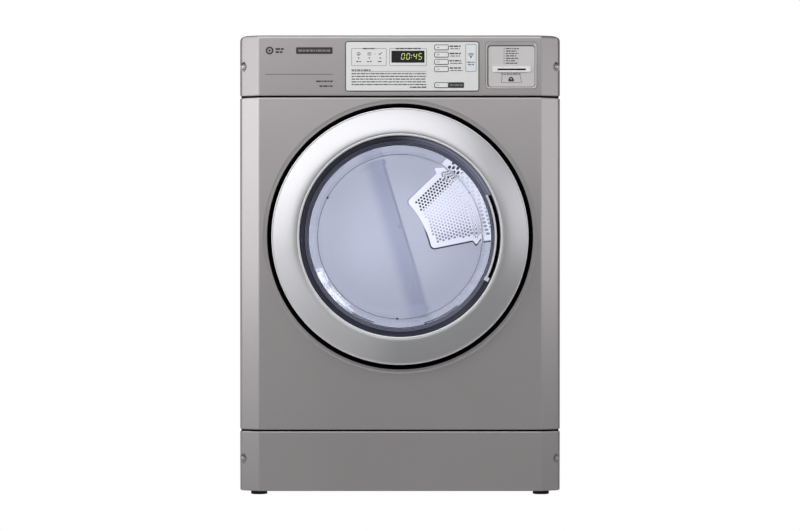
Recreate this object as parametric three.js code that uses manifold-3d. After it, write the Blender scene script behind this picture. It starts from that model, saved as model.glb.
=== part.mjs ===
// A front-loading commercial tumble dryer, as an assembly of separate named solids.
// Millimetres, +Z up, the front faces -Y. The origin is on the floor, under the middle of the overall box.
//
// Each solid is built in place. Sheets, rings and pulleys are three.js geometries turned into manifold-3d
// solids, so that they can be cut and joined, and each finished solid becomes one named mesh.

import * as THREE from 'three';
import { mergeVertices } from 'three/addons/utils/BufferGeometryUtils.js';
import Module from 'manifold-3d';

const wasm = await Module();
wasm.setup();

// ---------------------------------------------------------------- driving dimensions

const WIDTH = 686;
const DEPTH = 767; // door ring to exhaust collar
const HEIGHT = 983;
const SHEET = 1;
const GAP = 0.4; // between pieces that rest on each other
const RING_SEGMENTS = 48;

const HALF = WIDTH / 2;
const DOOR_FRONT = -DEPTH / 2;
const EXHAUST_END = DEPTH / 2;
const FACE = -345; // plane of the three front covers
const COVER_BACK = -290; // where the front covers' side returns end
const BEND_X = 302; // the flat face ends here and slants back to the sides
const SLANT = 20;
const FLANGE_BACK = -331; // how far back the covers' level flanges reach
const REAR = 361.5; // rear panel's outer face
const BODY_BOTTOM = 9; // lower edge of the covers, above the floor
const TOP_SKIRT = 958.5; // lower edge of the top panel's skirt

const KICK_TOP = 136.6;
const FRONT_BOTTOM = 140;
const FRONT_TOP = 850;
const CONTROL_BOTTOM = 853.4;
const TOP_CORNER = 12;

const DOOR_Z = 553;
const OPENING_R = 281.5;
const RING_R = 274;
const RECESS_FLOOR = -318; // front face of the recess behind the door
const MOUTH_R = 205; // clear opening through the front bulkhead
const HINGE_X = -260;
const HINGE_Y = -354;

const DRUM_Z = 585;
const DRUM_R = 321;
const DRUM_FRONT = -284;
const DRUM_REAR = 293;
const FRONT_WALL = -290; // front bulkhead's front face
const REAR_WALL = 297; // rear bulkhead's front face

const MOTOR_X = 95;
const MOTOR_Z = 135;
const PULLEY_R = 10;
const IDLER_X = 24;
const IDLER_Z = 150;
const IDLER_R = 28;
const ARM_X = 10;
const ARM_Z = 62;
const DUCT_X = -60;
const DUCT_Z = 84;
const DUCT_R = 51;

const ROLLER_R = 38;
const ROLLER_ANGLE = 38; // degrees either side of the bottom of the drum
const FOOT_X = 303;
const FOOT_FRONT_Y = -300;
const FOOT_REAR_Y = 320;

// ---------------------------------------------------------------- materials

const material = (color, roughness, metalness, extra = {}) =>
  new THREE.MeshStandardMaterial({ color, roughness, metalness, ...extra });

const MATERIALS = {
  bodyPaint: material(0x96928f, 0.42, 0.35),
  sidePaint: material(0x8f8b89, 0.5, 0.3),
  galvanised: material(0xa9adb0, 0.45, 0.8),
  drumSteel: material(0xc3c7cf, 0.28, 0.9),
  ringSilver: material(0xc9c9cd, 0.35, 0.6),
  darkPlastic: material(0x3d3f4b, 0.3, 0),
  blackPlastic: material(0x151515, 0.6, 0),
  whitePlastic: material(0xe2e2e2, 0.45, 0),
  glass: material(0xb9c6de, 0.04, 0, { transparent: true, opacity: 0.35 }),
  displayGlass: material(0x0c0d0c, 0.1, 0),
  rubber: material(0x1a1a1b, 0.85, 0),
  felt: material(0xd8d4c8, 0.95, 0),
  circuitBoard: material(0x1f5a35, 0.6, 0),
  heaterWire: material(0x6b5a50, 0.5, 0.8),
  castMetal: material(0x5b5e62, 0.55, 0.7),
  plainSteel: material(0xb4b6b8, 0.3, 0.9),
};

// ---------------------------------------------------------------- solids

// A three.js geometry as a manifold-3d solid, with its faces turned outwards.
function solid(geometry) {
  const bare = geometry.clone();
  bare.deleteAttribute('normal');
  bare.deleteAttribute('uv');
  const merged = mergeVertices(bare, 1e-4);
  const index = merged.index.array;
  const kept = [];
  for (let i = 0; i < index.length; i += 3) {
    const [a, b, c] = [index[i], index[i + 1], index[i + 2]];
    if (a !== b && b !== c && c !== a) kept.push(a, b, c);
  }
  const make = (triVerts) =>
    new wasm.Manifold(
      new wasm.Mesh({ numProp: 3, vertProperties: merged.attributes.position.array, triVerts }),
    );
  const made = make(new Uint32Array(kept));
  if (made.volume() > 0) return made;
  for (let i = 0; i < kept.length; i += 3) [kept[i + 1], kept[i + 2]] = [kept[i + 2], kept[i + 1]];
  return make(new Uint32Array(kept));
}

const join = (first, ...others) => others.reduce((sum, other) => sum.add(other), first);
const cut = (first, ...others) => others.reduce((rest, other) => rest.subtract(other), first);

function box(x0, x1, y0, y1, z0, z1) {
  const geometry = new THREE.BoxGeometry(x1 - x0, y1 - y0, z1 - z0);
  return solid(geometry.translate((x0 + x1) / 2, (y0 + y1) / 2, (z0 + z1) / 2));
}

// A profile of [radius, y] points turned about the Y direction through (x, z). It closes on itself,
// unless it starts and ends on the axis.
function turned(profile, x = 0, z = 0, segments = RING_SEGMENTS) {
  const points = profile.map(([r, y]) => new THREE.Vector2(r, y));
  const onAxis = profile[0][0] === 0 && profile[profile.length - 1][0] === 0;
  if (!onAxis) points.push(points[0].clone());
  return solid(new THREE.LatheGeometry(points, segments).translate(x, 0, z));
}

const rodY = (r, y0, y1, x = 0, z = 0, segments = 16) =>
  turned([[0, y0], [r, y0], [r, y1], [0, y1]], x, z, segments);

const tubeY = (inner, outer, y0, y1, x = 0, z = 0, segments = RING_SEGMENTS) =>
  turned([[inner, y0], [outer, y0], [outer, y1], [inner, y1]], x, z, segments);

function rodZ(r, z0, z1, x = 0, y = 0, segments = 16) {
  const geometry = new THREE.CylinderGeometry(r, r, z1 - z0, segments);
  return solid(geometry.rotateX(Math.PI / 2).translate(x, y, (z0 + z1) / 2));
}

// An (x, z) outline pushed along Y, and an (x, y) outline pushed along Z.
function prismY(shape, y0, y1, curveSegments = 4) {
  const geometry = new THREE.ExtrudeGeometry(shape, { depth: y1 - y0, bevelEnabled: false, curveSegments });
  return solid(geometry.rotateX(Math.PI / 2).translate(0, y1, 0));
}

function prismZ(shape, z0, z1, curveSegments = 4) {
  const geometry = new THREE.ExtrudeGeometry(shape, { depth: z1 - z0, bevelEnabled: false, curveSegments });
  return solid(geometry.translate(0, 0, z0));
}

const outline = (points) => new THREE.Shape(points.map(([a, b]) => new THREE.Vector2(a, b)));

function roundedOutline(x0, x1, z0, z1, topRadius, bottomRadius = topRadius) {
  const shape = new THREE.Shape();
  const quarter = Math.PI / 2;
  shape.absarc(x1 - bottomRadius, z0 + bottomRadius, bottomRadius, -quarter, 0);
  shape.absarc(x1 - topRadius, z1 - topRadius, topRadius, 0, quarter);
  shape.absarc(x0 + topRadius, z1 - topRadius, topRadius, quarter, 2 * quarter);
  shape.absarc(x0 + bottomRadius, z0 + bottomRadius, bottomRadius, 2 * quarter, 3 * quarter);
  return shape;
}

// A wire of a few flat sides that follows a curve.
function wire(curve, radius, steps, sides) {
  const section = new THREE.Shape();
  section.absarc(0, 0, radius, 0, 2 * Math.PI);
  const options = { steps, extrudePath: curve, curveSegments: sides, bevelEnabled: false };
  return solid(new THREE.ExtrudeGeometry(section, options));
}

const assembly = new THREE.Group();

function add(name, shape, look) {
  const mesh = shape.getMesh();
  const geometry = new THREE.BufferGeometry();
  geometry.setAttribute('position', new THREE.BufferAttribute(mesh.vertProperties, 3));
  geometry.setIndex(new THREE.BufferAttribute(mesh.triVerts, 1));
  geometry.computeVertexNormals();
  const piece = new THREE.Mesh(geometry, look);
  piece.name = name;
  assembly.add(piece);
}

// ---------------------------------------------------------------- front covers

// Half of the covers' plan outline, from the middle of the face round to the side return.
const coverSide = (inset) => {
  const corner = 5 * (1 - inset / 20);
  return [
    [BEND_X - inset * 0.25, FACE + inset],
    [HALF - corner - inset, FACE + SLANT + inset * 0.9],
    [HALF - inset, FACE + SLANT + 2 * corner],
  ];
};

function coverPlan(inset, back) {
  const right = coverSide(inset);
  const left = right.map(([x, y]) => [-x, y]).reverse();
  return outline([...left, ...right, [HALF - inset, back], [-HALF + inset, back]]);
}

// The pocket for a cover screw, trimmed to the cover's outer surface.
const SCREW_X = 335.5;
const POCKET_R = 8.5;
const POCKET_FLOOR = -316;
const SCREW_HOLE_R = 2.6;

function addScrewPockets(cover, envelope, z) {
  let made = cover;
  for (const x of [-SCREW_X, SCREW_X]) {
    const cup = cut(
      rodY(POCKET_R + SHEET, FACE - 1, POCKET_FLOOR + SHEET, x, z, 20),
      rodY(POCKET_R, FACE - 2, POCKET_FLOOR, x, z, 20),
      rodY(SCREW_HOLE_R, POCKET_FLOOR - 1, POCKET_FLOOR + 2 * SHEET, x, z, 12),
    );
    made = cut(made, rodY(POCKET_R + SHEET / 2, FACE - 2, POCKET_FLOOR, x, z, 20));
    made = join(made, cup.intersect(envelope));
  }
  return made;
}

// A tray of folded sheet with the covers' plan, open at the back.
function coverTray(z0, z1, topRadius = 0) {
  let outer = prismZ(coverPlan(0, COVER_BACK), z0, z1);
  let inner = prismZ(coverPlan(SHEET, COVER_BACK + 1), z0 + SHEET, z1 - SHEET);
  if (topRadius > 0) {
    const bottom = 0.5;
    const around = roundedOutline(-HALF, HALF, z0, z1, topRadius, bottom);
    const within = roundedOutline(
      -HALF + SHEET, HALF - SHEET, z0 + SHEET, z1 - SHEET, topRadius - SHEET, bottom);
    outer = outer.intersect(prismY(around, FACE - 1, COVER_BACK, 5));
    inner = inner.intersect(prismY(within, FACE - 1, COVER_BACK + 1, 5));
  }
  return { tray: cut(outer, inner), envelope: outer };
}

const FASCIA = { x0: -117.5, x1: 169.5, z0: 862.5, z1: 970.5, corner: 6 };
const CARD = { x0: 183.5, x1: 292, z0: 869, z1: 968, corner: 6 };
const CONTROL_SCREW_Z = 916.5;
const KICK_SCREW_Z = 78;
const FASCIA_FRONT = FACE - 0.6;

const windowOutline = ({ x0, x1, z0, z1, corner }, grow) =>
  roundedOutline(x0 - grow, x1 + grow, z0 - grow, z1 + grow, corner + grow);

// The covers' level flanges are narrow, to leave room for the parts behind them.
const flangeTrim = (z) => box(-329, 329, FLANGE_BACK, COVER_BACK + 1, z - 2 * SHEET, z + 2 * SHEET);

function controlPanel() {
  const { tray, envelope } = coverTray(CONTROL_BOTTOM, HEIGHT, TOP_CORNER);
  const body = cut(addScrewPockets(tray, envelope, CONTROL_SCREW_Z), flangeTrim(CONTROL_BOTTOM));
  return cut(
    body,
    prismY(windowOutline(FASCIA, GAP), FACE - 1, FACE + 3),
    prismY(windowOutline(CARD, GAP), FACE - 1, FACE + 3),
  );
}

const LATCH_X = 246;
const LATCH_SLOT = { half: 10, high: 15 };

function frontPanel() {
  const { tray } = coverTray(FRONT_BOTTOM, FRONT_TOP);
  const recess = turned([
    [OPENING_R, FACE],
    [OPENING_R + SHEET, FACE],
    [OPENING_R + SHEET, RECESS_FLOOR + SHEET],
    [210, RECESS_FLOOR + SHEET],
    [210, RECESS_FLOOR + 3.5],
    [209, RECESS_FLOOR + 3.5],
    [209, RECESS_FLOOR],
    [OPENING_R, RECESS_FLOOR],
  ], 0, DOOR_Z, 64);
  const face = cut(tray, rodY(OPENING_R + SHEET / 2, FACE - 1, FACE + 3, 0, DOOR_Z, 64));
  const slot = box(
    LATCH_X - LATCH_SLOT.half, LATCH_X + LATCH_SLOT.half,
    RECESS_FLOOR - 1, RECESS_FLOOR + 3,
    DOOR_Z - LATCH_SLOT.high, DOOR_Z + LATCH_SLOT.high);
  return cut(join(face, recess), slot, flangeTrim(FRONT_BOTTOM), flangeTrim(FRONT_TOP));
}

function kickPanel() {
  const { tray, envelope } = coverTray(BODY_BOTTOM, KICK_TOP);
  const body = addScrewPockets(tray, envelope, KICK_SCREW_Z);
  return cut(body, flangeTrim(BODY_BOTTOM), flangeTrim(KICK_TOP));
}

// A screw with a domed head, driven along Y into the floor of its pocket.
const coverScrew = (x, z) =>
  turned([
    [0, POCKET_FLOOR - 4],
    [2.6, POCKET_FLOOR - 3.6],
    [4.4, POCKET_FLOOR - 1.8],
    [4.4, POCKET_FLOOR - GAP],
    [2, POCKET_FLOOR - GAP],
    [2, POCKET_FLOOR + 14],
    [0, POCKET_FLOOR + 16],
  ], x, z, 12);

add('control_panel', controlPanel(), MATERIALS.bodyPaint);
add('front_panel', frontPanel(), MATERIALS.bodyPaint);
add('kick_panel', kickPanel(), MATERIALS.bodyPaint);
add('control_screw_left', coverScrew(-SCREW_X, CONTROL_SCREW_Z), MATERIALS.plainSteel);
add('control_screw_right', coverScrew(SCREW_X, CONTROL_SCREW_Z), MATERIALS.plainSteel);
add('kick_screw_left', coverScrew(-SCREW_X, KICK_SCREW_Z), MATERIALS.plainSteel);
add('kick_screw_right', coverScrew(SCREW_X, KICK_SCREW_Z), MATERIALS.plainSteel);

// ---------------------------------------------------------------- controls

const BUTTON = { x: 88.7, width: 28, height: 9.4, corner: 2.4, proud: 1.2, back: -341 };
const BUTTON_Z = {
  button_high: 956.8,
  button_medium: 941.2,
  button_low: 925.7,
  button_no_heat: 910.3,
  button_start: 876.2,
};
const DISPLAY = { x0: -18, x1: 52, z0: 924.5, z1: 949.5, corner: 1.5 };
const CARD_SLOT = { x0: 208, x1: 269.5, z0: 908.2, z1: 912 };
const SLOT_BEZEL = { x0: 197.5, x1: 279, z0: 904.5, z1: 916.5, corner: 1 };
const CARD_FLOOR = -341;

const buttonOutline = (z, grow) =>
  roundedOutline(
    BUTTON.x - BUTTON.width / 2 - grow, BUTTON.x + BUTTON.width / 2 + grow,
    z - BUTTON.height / 2 - grow, z + BUTTON.height / 2 + grow, BUTTON.corner + grow);

function controlFascia() {
  const holes = Object.values(BUTTON_Z).map((z) =>
    prismY(buttonOutline(z, 0.5), FASCIA_FRONT - 1, FACE + 4, 2));
  return cut(
    prismY(windowOutline(FASCIA, 0), FASCIA_FRONT, FASCIA_FRONT + 3),
    prismY(windowOutline(DISPLAY, 0.4), FASCIA_FRONT - 1, FACE + 4, 1),
    ...holes,
  );
}

const displayWindow = () =>
  prismY(windowOutline(DISPLAY, 0), FASCIA_FRONT - 0.4, FASCIA_FRONT + 2.6, 1);

const button = (z) => prismY(buttonOutline(z, 0), FASCIA_FRONT - BUTTON.proud, BUTTON.back, 2);

function cardReaderPanel() {
  const floor = { x0: 188, x1: 289.5, z0: 872.5, z1: 962, corner: 4 };
  return cut(
    prismY(windowOutline(CARD, 0), FACE - 0.8, CARD_FLOOR + 3),
    prismY(windowOutline(floor, 0), FACE - 2, CARD_FLOOR),
    box(CARD_SLOT.x0, CARD_SLOT.x1, CARD_FLOOR - 1, CARD_FLOOR + 4, CARD_SLOT.z0, CARD_SLOT.z1),
  );
}

function cardSlotBezel() {
  const { x0, x1, z0, z1 } = CARD_SLOT;
  return cut(
    prismY(windowOutline(SLOT_BEZEL, 0), CARD_FLOOR - 2.4, CARD_FLOOR - GAP, 2),
    box(x0 + 1, x1 - 1, CARD_FLOOR - 4, CARD_FLOOR + 1, z0 + 0.4, z1 - 0.4),
  );
}

function controlBoard() {
  const front = -332;
  const board = box(-104, 158, front, front + 1.6, 868, 964);
  const parts = [
    box(-14, 48, front - 5, front + 0.5, 926, 948), // display module
    box(-90, -50, front - 4, front + 0.5, 880, 900), // relay
    box(-38, -12, front - 3, front + 0.5, 878, 904), // processor
    box(112, 146, front + 1, front + 15, 884, 914), // transformer, on the back
  ];
  const switches = Object.values(BUTTON_Z).map((z) =>
    box(BUTTON.x - 4, BUTTON.x + 4, front - 5, front + 0.5, z - 4, z + 4));
  return join(board, ...parts, ...switches);
}

add('control_fascia', controlFascia(), MATERIALS.whitePlastic);
add('display_window', displayWindow(), MATERIALS.displayGlass);
add('card_reader_panel', cardReaderPanel(), MATERIALS.bodyPaint);
add('card_slot_bezel', cardSlotBezel(), MATERIALS.whitePlastic);
add('control_board', controlBoard(), MATERIALS.circuitBoard);
for (const [name, z] of Object.entries(BUTTON_Z)) {
  add(name, button(z), MATERIALS.whitePlastic);
}

// ---------------------------------------------------------------- cabinet sheets

const SIDE_X = 342;
const SIDE_FRONT = -287;
const FLANGE = 20;

function sidePanel(side) {
  const rear = REAR - SHEET - GAP;
  const profile = [
    [SIDE_X, SIDE_FRONT], [SIDE_X, rear], [SIDE_X - FLANGE, rear], [SIDE_X - FLANGE, rear - SHEET],
    [SIDE_X - SHEET, rear - SHEET], [SIDE_X - SHEET, SIDE_FRONT + SHEET],
    [SIDE_X - FLANGE, SIDE_FRONT + SHEET], [SIDE_X - FLANGE, SIDE_FRONT],
  ];
  return prismZ(outline(profile.map(([x, y]) => [side * x, y])), BODY_BOTTOM, TOP_SKIRT - GAP);
}

function topPanel() {
  const top = HEIGHT - SHEET;
  return cut(
    box(-SIDE_X, SIDE_X, SIDE_FRONT, REAR, TOP_SKIRT, top),
    box(-SIDE_X + SHEET, SIDE_X - SHEET, SIDE_FRONT + SHEET, REAR - SHEET, TOP_SKIRT - 1, top - SHEET),
  );
}

// The rear panel, with louvre slots for the air intake and a hole for the exhaust collar.
function rearPanel() {
  const slots = [];
  const rows = 8;
  for (let row = 0; row < rows; row += 1) {
    for (const side of [-1, 1]) {
      const x = side * 190;
      const z = 250 + row * 22;
      slots.push(box(x - 45, x + 45, REAR - 3, REAR + 1, z, z + 7));
    }
  }
  return cut(
    box(-SIDE_X, SIDE_X, REAR - SHEET, REAR, BODY_BOTTOM, TOP_SKIRT - GAP),
    rodY(DUCT_R + 2, REAR - 3, REAR + 1, DUCT_X, DUCT_Z, 32),
    ...slots,
  );
}

// The base pan, with a pressed rim, a hole over each foot, and the lug that carries the idler's pivot.
const BASE_Z = 20;
const PIVOT_R = 4;

function basePan() {
  const side = 339.5;
  const back = 358;
  const rim = 26;
  const tray = cut(
    box(-side, side, -284, back, BASE_Z, BASE_Z + rim),
    box(-side + SHEET, side - SHEET, -290, back - SHEET, BASE_Z + SHEET, BASE_Z + rim + 1),
  );
  const tongue = box(-321, 321, -326, -283, BASE_Z, BASE_Z + SHEET);
  const lug = box(ARM_X - 11, ARM_X + 11, 18, 20, BASE_Z + SHEET / 2, ARM_Z + 12);
  const stud = rodY(PIVOT_R, 8, 19, ARM_X, ARM_Z, 12);
  const holes = [rodY(DUCT_R + 2, back - 2, back + 2, DUCT_X, DUCT_Z, 32)];
  for (const x of [-FOOT_X, FOOT_X]) {
    for (const y of [FOOT_FRONT_Y, FOOT_REAR_Y]) holes.push(rodZ(6, BASE_Z - 1, BASE_Z + 3, x, y, 12));
  }
  return cut(join(tray, tongue, lug, stud), ...holes);
}

// A levelling foot: a rubber-faced pad on a threaded stud.
function foot(x, y) {
  const pad = [[0, 0], [16.5, 0], [17.5, 1.5], [17.5, 5.5], [14, 8], [9, 8.4]];
  const points = [...pad, [9, 14], [5, 14], [5, 46], [0, 46]];
  const profile = points.map(([r, z]) => new THREE.Vector2(r, z));
  const geometry = new THREE.LatheGeometry(profile, 16).rotateX(Math.PI / 2);
  return solid(geometry.translate(x, y, 0));
}

add('side_panel_left', sidePanel(-1), MATERIALS.sidePaint);
add('side_panel_right', sidePanel(1), MATERIALS.sidePaint);
add('top_panel', topPanel(), MATERIALS.sidePaint);
add('rear_panel', rearPanel(), MATERIALS.galvanised);
add('base_pan', basePan(), MATERIALS.galvanised);
add('foot_front_left', foot(-FOOT_X, FOOT_FRONT_Y), MATERIALS.rubber);
add('foot_front_right', foot(FOOT_X, FOOT_FRONT_Y), MATERIALS.rubber);
add('foot_rear_left', foot(-FOOT_X, FOOT_REAR_Y), MATERIALS.rubber);
add('foot_rear_right', foot(FOOT_X, FOOT_REAR_Y), MATERIALS.rubber);

// ---------------------------------------------------------------- drum and its walls

const MOUNT_X = 338; // half width of both bulkheads
const BULKHEAD_Z = [240, 930];
const FRONT_FLANGE_R = 312;
const REAR_FLANGE_R = 316.5;
const FILTER_HALF = 94;
const FILTER_Y = [-308, -296];

// The front bulkhead: a sheet with the mouth's collar forwards and the drum's bearing flange backwards.
function frontBulkhead() {
  const sheet = box(-MOUNT_X, MOUNT_X, FRONT_WALL, FRONT_WALL + SHEET, ...BULKHEAD_Z);
  const flange = tubeY(
    FRONT_FLANGE_R - 1.2, FRONT_FLANGE_R, FRONT_WALL + SHEET / 2, -262, 0, DRUM_Z);
  const collar = tubeY(MOUTH_R, MOUTH_R + 1.2, -316, FRONT_WALL + SHEET / 2, 0, DOOR_Z);
  const mouth = rodY(MOUTH_R + 0.6, FRONT_WALL - 2, FRONT_WALL + 3, 0, DOOR_Z, RING_SEGMENTS);
  const slot = box(-FILTER_HALF - 3, FILTER_HALF + 3, FILTER_Y[0] - 1.5, FILTER_Y[1] + 1.5, 330, 400);
  return cut(join(cut(sheet, mouth), flange, collar), slot);
}

// The air inlet is a ring sector about a point low on the left of the rear wall.
const INLET = { x: -150, z: 483, inner: 233, outer: 430, from: 11.5, to: 44 };

function sectorOutline({ x, z, inner, outer, from, to }, inset) {
  const degree = Math.PI / 180;
  const lean = (r) => inset / r;
  const [low, high] = [inner + inset, outer - inset];
  const shape = new THREE.Shape();
  shape.absarc(x, z, high, from * degree + lean(high), to * degree - lean(high), false);
  shape.absarc(x, z, low, to * degree - lean(low), from * degree + lean(low), true);
  return shape;
}

function rearBulkhead() {
  const sheet = box(-MOUNT_X, MOUNT_X, REAR_WALL, REAR_WALL + SHEET, ...BULKHEAD_Z);
  const flange = tubeY(REAR_FLANGE_R - 1, REAR_FLANGE_R, 284, REAR_WALL + SHEET / 2, 0, DRUM_Z);
  const holes = rollerPlaces.map(([x, z]) => rodY(5.5, REAR_WALL - 1, REAR_WALL + 3, x, z, 12));
  return cut(
    join(sheet, flange),
    prismY(sectorOutline(INLET, 14), REAR_WALL - 1, REAR_WALL + 3, 8),
    ...holes,
  );
}

// The grille's holes follow the sector, in rings about its centre.
function airInletGrille() {
  const plate = prismY(sectorOutline(INLET, 0), REAR_WALL - 2.4, REAR_WALL - GAP, 8);
  const holes = [];
  const size = 13;
  for (let ring = 0; ring < 6; ring += 1) {
    const radius = INLET.inner + 28 + ring * 28;
    const count = 5 + Math.floor(ring / 2);
    for (let i = 0; i < count; i += 1) {
      const across = INLET.from + 6 + (i * (INLET.to - INLET.from - 12)) / (count - 1);
      const turn = THREE.MathUtils.degToRad(across);
      const hole = new THREE.BoxGeometry(size, 6, size).rotateY(-turn);
      const at = [INLET.x + radius * Math.cos(turn), REAR_WALL - 1.4, INLET.z + radius * Math.sin(turn)];
      holes.push(solid(hole.translate(...at)));
    }
  }
  return cut(plate, ...holes);
}

// Where the two support rollers stand, [x, z].
const ROLLER_REACH = DRUM_R + ROLLER_R + 0.5;
const rollerPlaces = [-1, 1].map((side) => {
  const angle = THREE.MathUtils.degToRad(ROLLER_ANGLE);
  return [side * ROLLER_REACH * Math.sin(angle), DRUM_Z - ROLLER_REACH * Math.cos(angle)];
});

// The drum: a rolled sheet with two pressed hoops that keep it round.
const drumShell = () => {
  const bore = DRUM_R - 1;
  return turned([
    [bore, DRUM_FRONT], [DRUM_R, DRUM_FRONT], [DRUM_R, DRUM_REAR], [bore, DRUM_REAR],
  ], 0, DRUM_Z);
};

// A baffle: a hollow-looking ridge along the drum, with a curved foot that follows the shell.
function baffle(place) {
  const footR = 318.8;
  const tipR = 274;
  const degree = Math.PI / 180;
  const shape = new THREE.Shape();
  const at = (r, angle) => [r * Math.sin(angle * degree), -r * Math.cos(angle * degree)];
  shape.moveTo(...at(footR, -8));
  for (const angle of [-4, 0, 4, 8]) shape.lineTo(...at(footR, angle));
  shape.bezierCurveTo(...at(302, 3.6), ...at(284, 3.4), ...at(tipR + 3, 2));
  shape.bezierCurveTo(...at(tipR, 0.8), ...at(tipR, -0.8), ...at(tipR + 3, -2));
  shape.bezierCurveTo(...at(284, -3.4), ...at(302, -3.6), ...at(footR, -8));
  const geometry = new THREE.ExtrudeGeometry(shape, { depth: 520, bevelEnabled: false, curveSegments: 3 });
  geometry.rotateX(Math.PI / 2).translate(0, 270, 0).rotateY(place * degree);
  return solid(geometry.translate(0, 0, DRUM_Z));
}

const rollerAxle = ([x, z]) =>
  turned([
    [0, 250], [8, 250], [8, 253], [5, 253], [5, 279.5], [8, 279.5], [8, REAR_WALL - GAP],
    [5, REAR_WALL - GAP], [5, 304], [0, 304],
  ], x, z, 12);

const roller = ([x, z]) =>
  turned([[5.6, 254], [12, 254], [ROLLER_R, 256], [ROLLER_R, 276], [12, 278], [5.6, 278]], x, z, 20);

add('front_bulkhead', frontBulkhead(), MATERIALS.galvanised);
add('rear_bulkhead', rearBulkhead(), MATERIALS.galvanised);
add('air_inlet_grille', airInletGrille(), MATERIALS.drumSteel);
add('drum_seal_front', tubeY(313, 318.7, -282, -266, 0, DRUM_Z), MATERIALS.felt);
add('drum_shell', drumShell(), MATERIALS.drumSteel);
add('baffle_1', baffle(0), MATERIALS.drumSteel);
add('baffle_2', baffle(120), MATERIALS.drumSteel);
add('baffle_3', baffle(240), MATERIALS.drumSteel);
add('roller_axle_left', rollerAxle(rollerPlaces[0]), MATERIALS.plainSteel);
add('roller_axle_right', rollerAxle(rollerPlaces[1]), MATERIALS.plainSteel);
add('drum_roller_left', roller(rollerPlaces[0]), MATERIALS.rubber);
add('drum_roller_right', roller(rollerPlaces[1]), MATERIALS.rubber);

// ---------------------------------------------------------------- air path

const BLOWER_Y = [-252, -172];
const BLOWER_R = 104;
const WALL = 2;

function blowerHousing() {
  const [front, rear] = BLOWER_Y;
  const outer = join(
    rodY(BLOWER_R, front, rear, MOTOR_X, MOTOR_Z, 32),
    box(DUCT_X - 53, MOTOR_X, front, rear, 31, 137),
  );
  const inner = join(
    rodY(BLOWER_R - WALL, front + WALL, rear - WALL, MOTOR_X, MOTOR_Z, 32),
    box(DUCT_X - 53 + WALL, MOTOR_X, front + WALL, rear - WALL, 31 + WALL, 137 - WALL),
  );
  return cut(
    outer, inner,
    rodY(58, front - 1, front + 2 * WALL, MOTOR_X, MOTOR_Z, 24),
    rodY(9, rear - 2 * WALL, rear + 1, MOTOR_X, MOTOR_Z, 12),
    rodY(DUCT_R - 2, rear - 2 * WALL, rear + 1, DUCT_X, DUCT_Z, 24),
  );
}

function blowerWheel() {
  const back = -184;
  const front = -244;
  const blades = [];
  const count = 12;
  for (let i = 0; i < count; i += 1) {
    const blade = new THREE.BoxGeometry(32, back - front - 1, 2).translate(63, 0, 0).rotateY(0.5);
    const turn = (i * 2 * Math.PI) / count;
    blade.rotateY(turn).translate(MOTOR_X, (back + front) / 2, MOTOR_Z);
    blades.push(solid(blade));
  }
  return join(
    tubeY(6.5, 82, back - 2, back, MOTOR_X, MOTOR_Z, 24),
    tubeY(6.5, 16, back - 22, back - 1, MOTOR_X, MOTOR_Z, 24),
    tubeY(70, 82, front, front + 2, MOTOR_X, MOTOR_Z, 24),
    ...blades,
  );
}

// The lint duct: a flat box that follows the mouth's collar and widens down to the blower's inlet.
function lintDuct() {
  const front = -314;
  const neckBack = -291.6;
  const chestBack = -253;
  const aroundCollar = rodY(MOUTH_R + 2, front - 2, neckBack + 2, 0, DOOR_Z, RING_SEGMENTS);
  const outer = join(
    box(-112, 112, front, neckBack, 205, 392),
    box(10, 180, front, chestBack, 60, 215),
  );
  const inner = join(
    box(-112 + WALL, 112 - WALL, front + WALL, neckBack - WALL, 203, 394),
    box(10 + WALL, 180 - WALL, front + WALL, chestBack - WALL, 60 + WALL, 215 - WALL),
  );
  // The neck's floor stays closed where the chest isn't below it.
  const floor = box(-112, 12, front, neckBack, 205, 205 + WALL);
  return cut(
    join(cut(outer, inner), floor),
    aroundCollar,
    rodY(56, chestBack - 2 * WALL, chestBack + 1, MOTOR_X, MOTOR_Z, 24),
  );
}

// The lint filter: a framed screen that lifts out through the slot in the mouth's collar.
function lintFilter() {
  const [front, back] = FILTER_Y;
  const bottom = 222;
  const middle = (front + back) / 2;
  const blank = box(-FILTER_HALF, FILTER_HALF, front, back, bottom, 400);
  const aboveLip = rodY(MOUTH_R - 6, front - 1, back + 1, 0, DOOR_Z, RING_SEGMENTS);
  const window = box(-FILTER_HALF + 8, FILTER_HALF - 8, front - 1, back + 1, bottom + 8, 332);
  const screen = box(-FILTER_HALF + 4, FILTER_HALF - 4, middle - 0.5, middle + 0.5, bottom + 4, 336);
  return join(cut(blank, aboveLip, window), screen);
}

const exhaustDuct = () =>
  tubeY(DUCT_R - SHEET, DUCT_R, BLOWER_Y[1] + GAP, EXHAUST_END, DUCT_X, DUCT_Z, 32);

const HEATER = { x0: 24, x1: 296, z0: 330, z1: 812, back: 352 };

const heaterDuct = () => cut(
  box(HEATER.x0, HEATER.x1, REAR_WALL + SHEET + GAP, HEATER.back, HEATER.z0, HEATER.z1),
  box(HEATER.x0 + SHEET, HEATER.x1 - SHEET, REAR_WALL, HEATER.back - SHEET,
    HEATER.z0 - 1, HEATER.z1 - SHEET),
);

// The heater: one rod bent to and fro across the duct.
function heaterCoil() {
  const points = [];
  const passes = 6;
  const y = 325;
  for (let pass = 0; pass < passes; pass += 1) {
    const z = 360 + pass * 26;
    const ends = pass % 2 === 0 ? [60, 260] : [260, 60];
    for (const x of [ends[0], (ends[0] + ends[1]) / 2, ends[1]]) points.push(new THREE.Vector3(x, y, z));
  }
  return wire(new THREE.CatmullRomCurve3(points, false, 'catmullrom', 0.5), 3.5, 60, 3);
}

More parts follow.
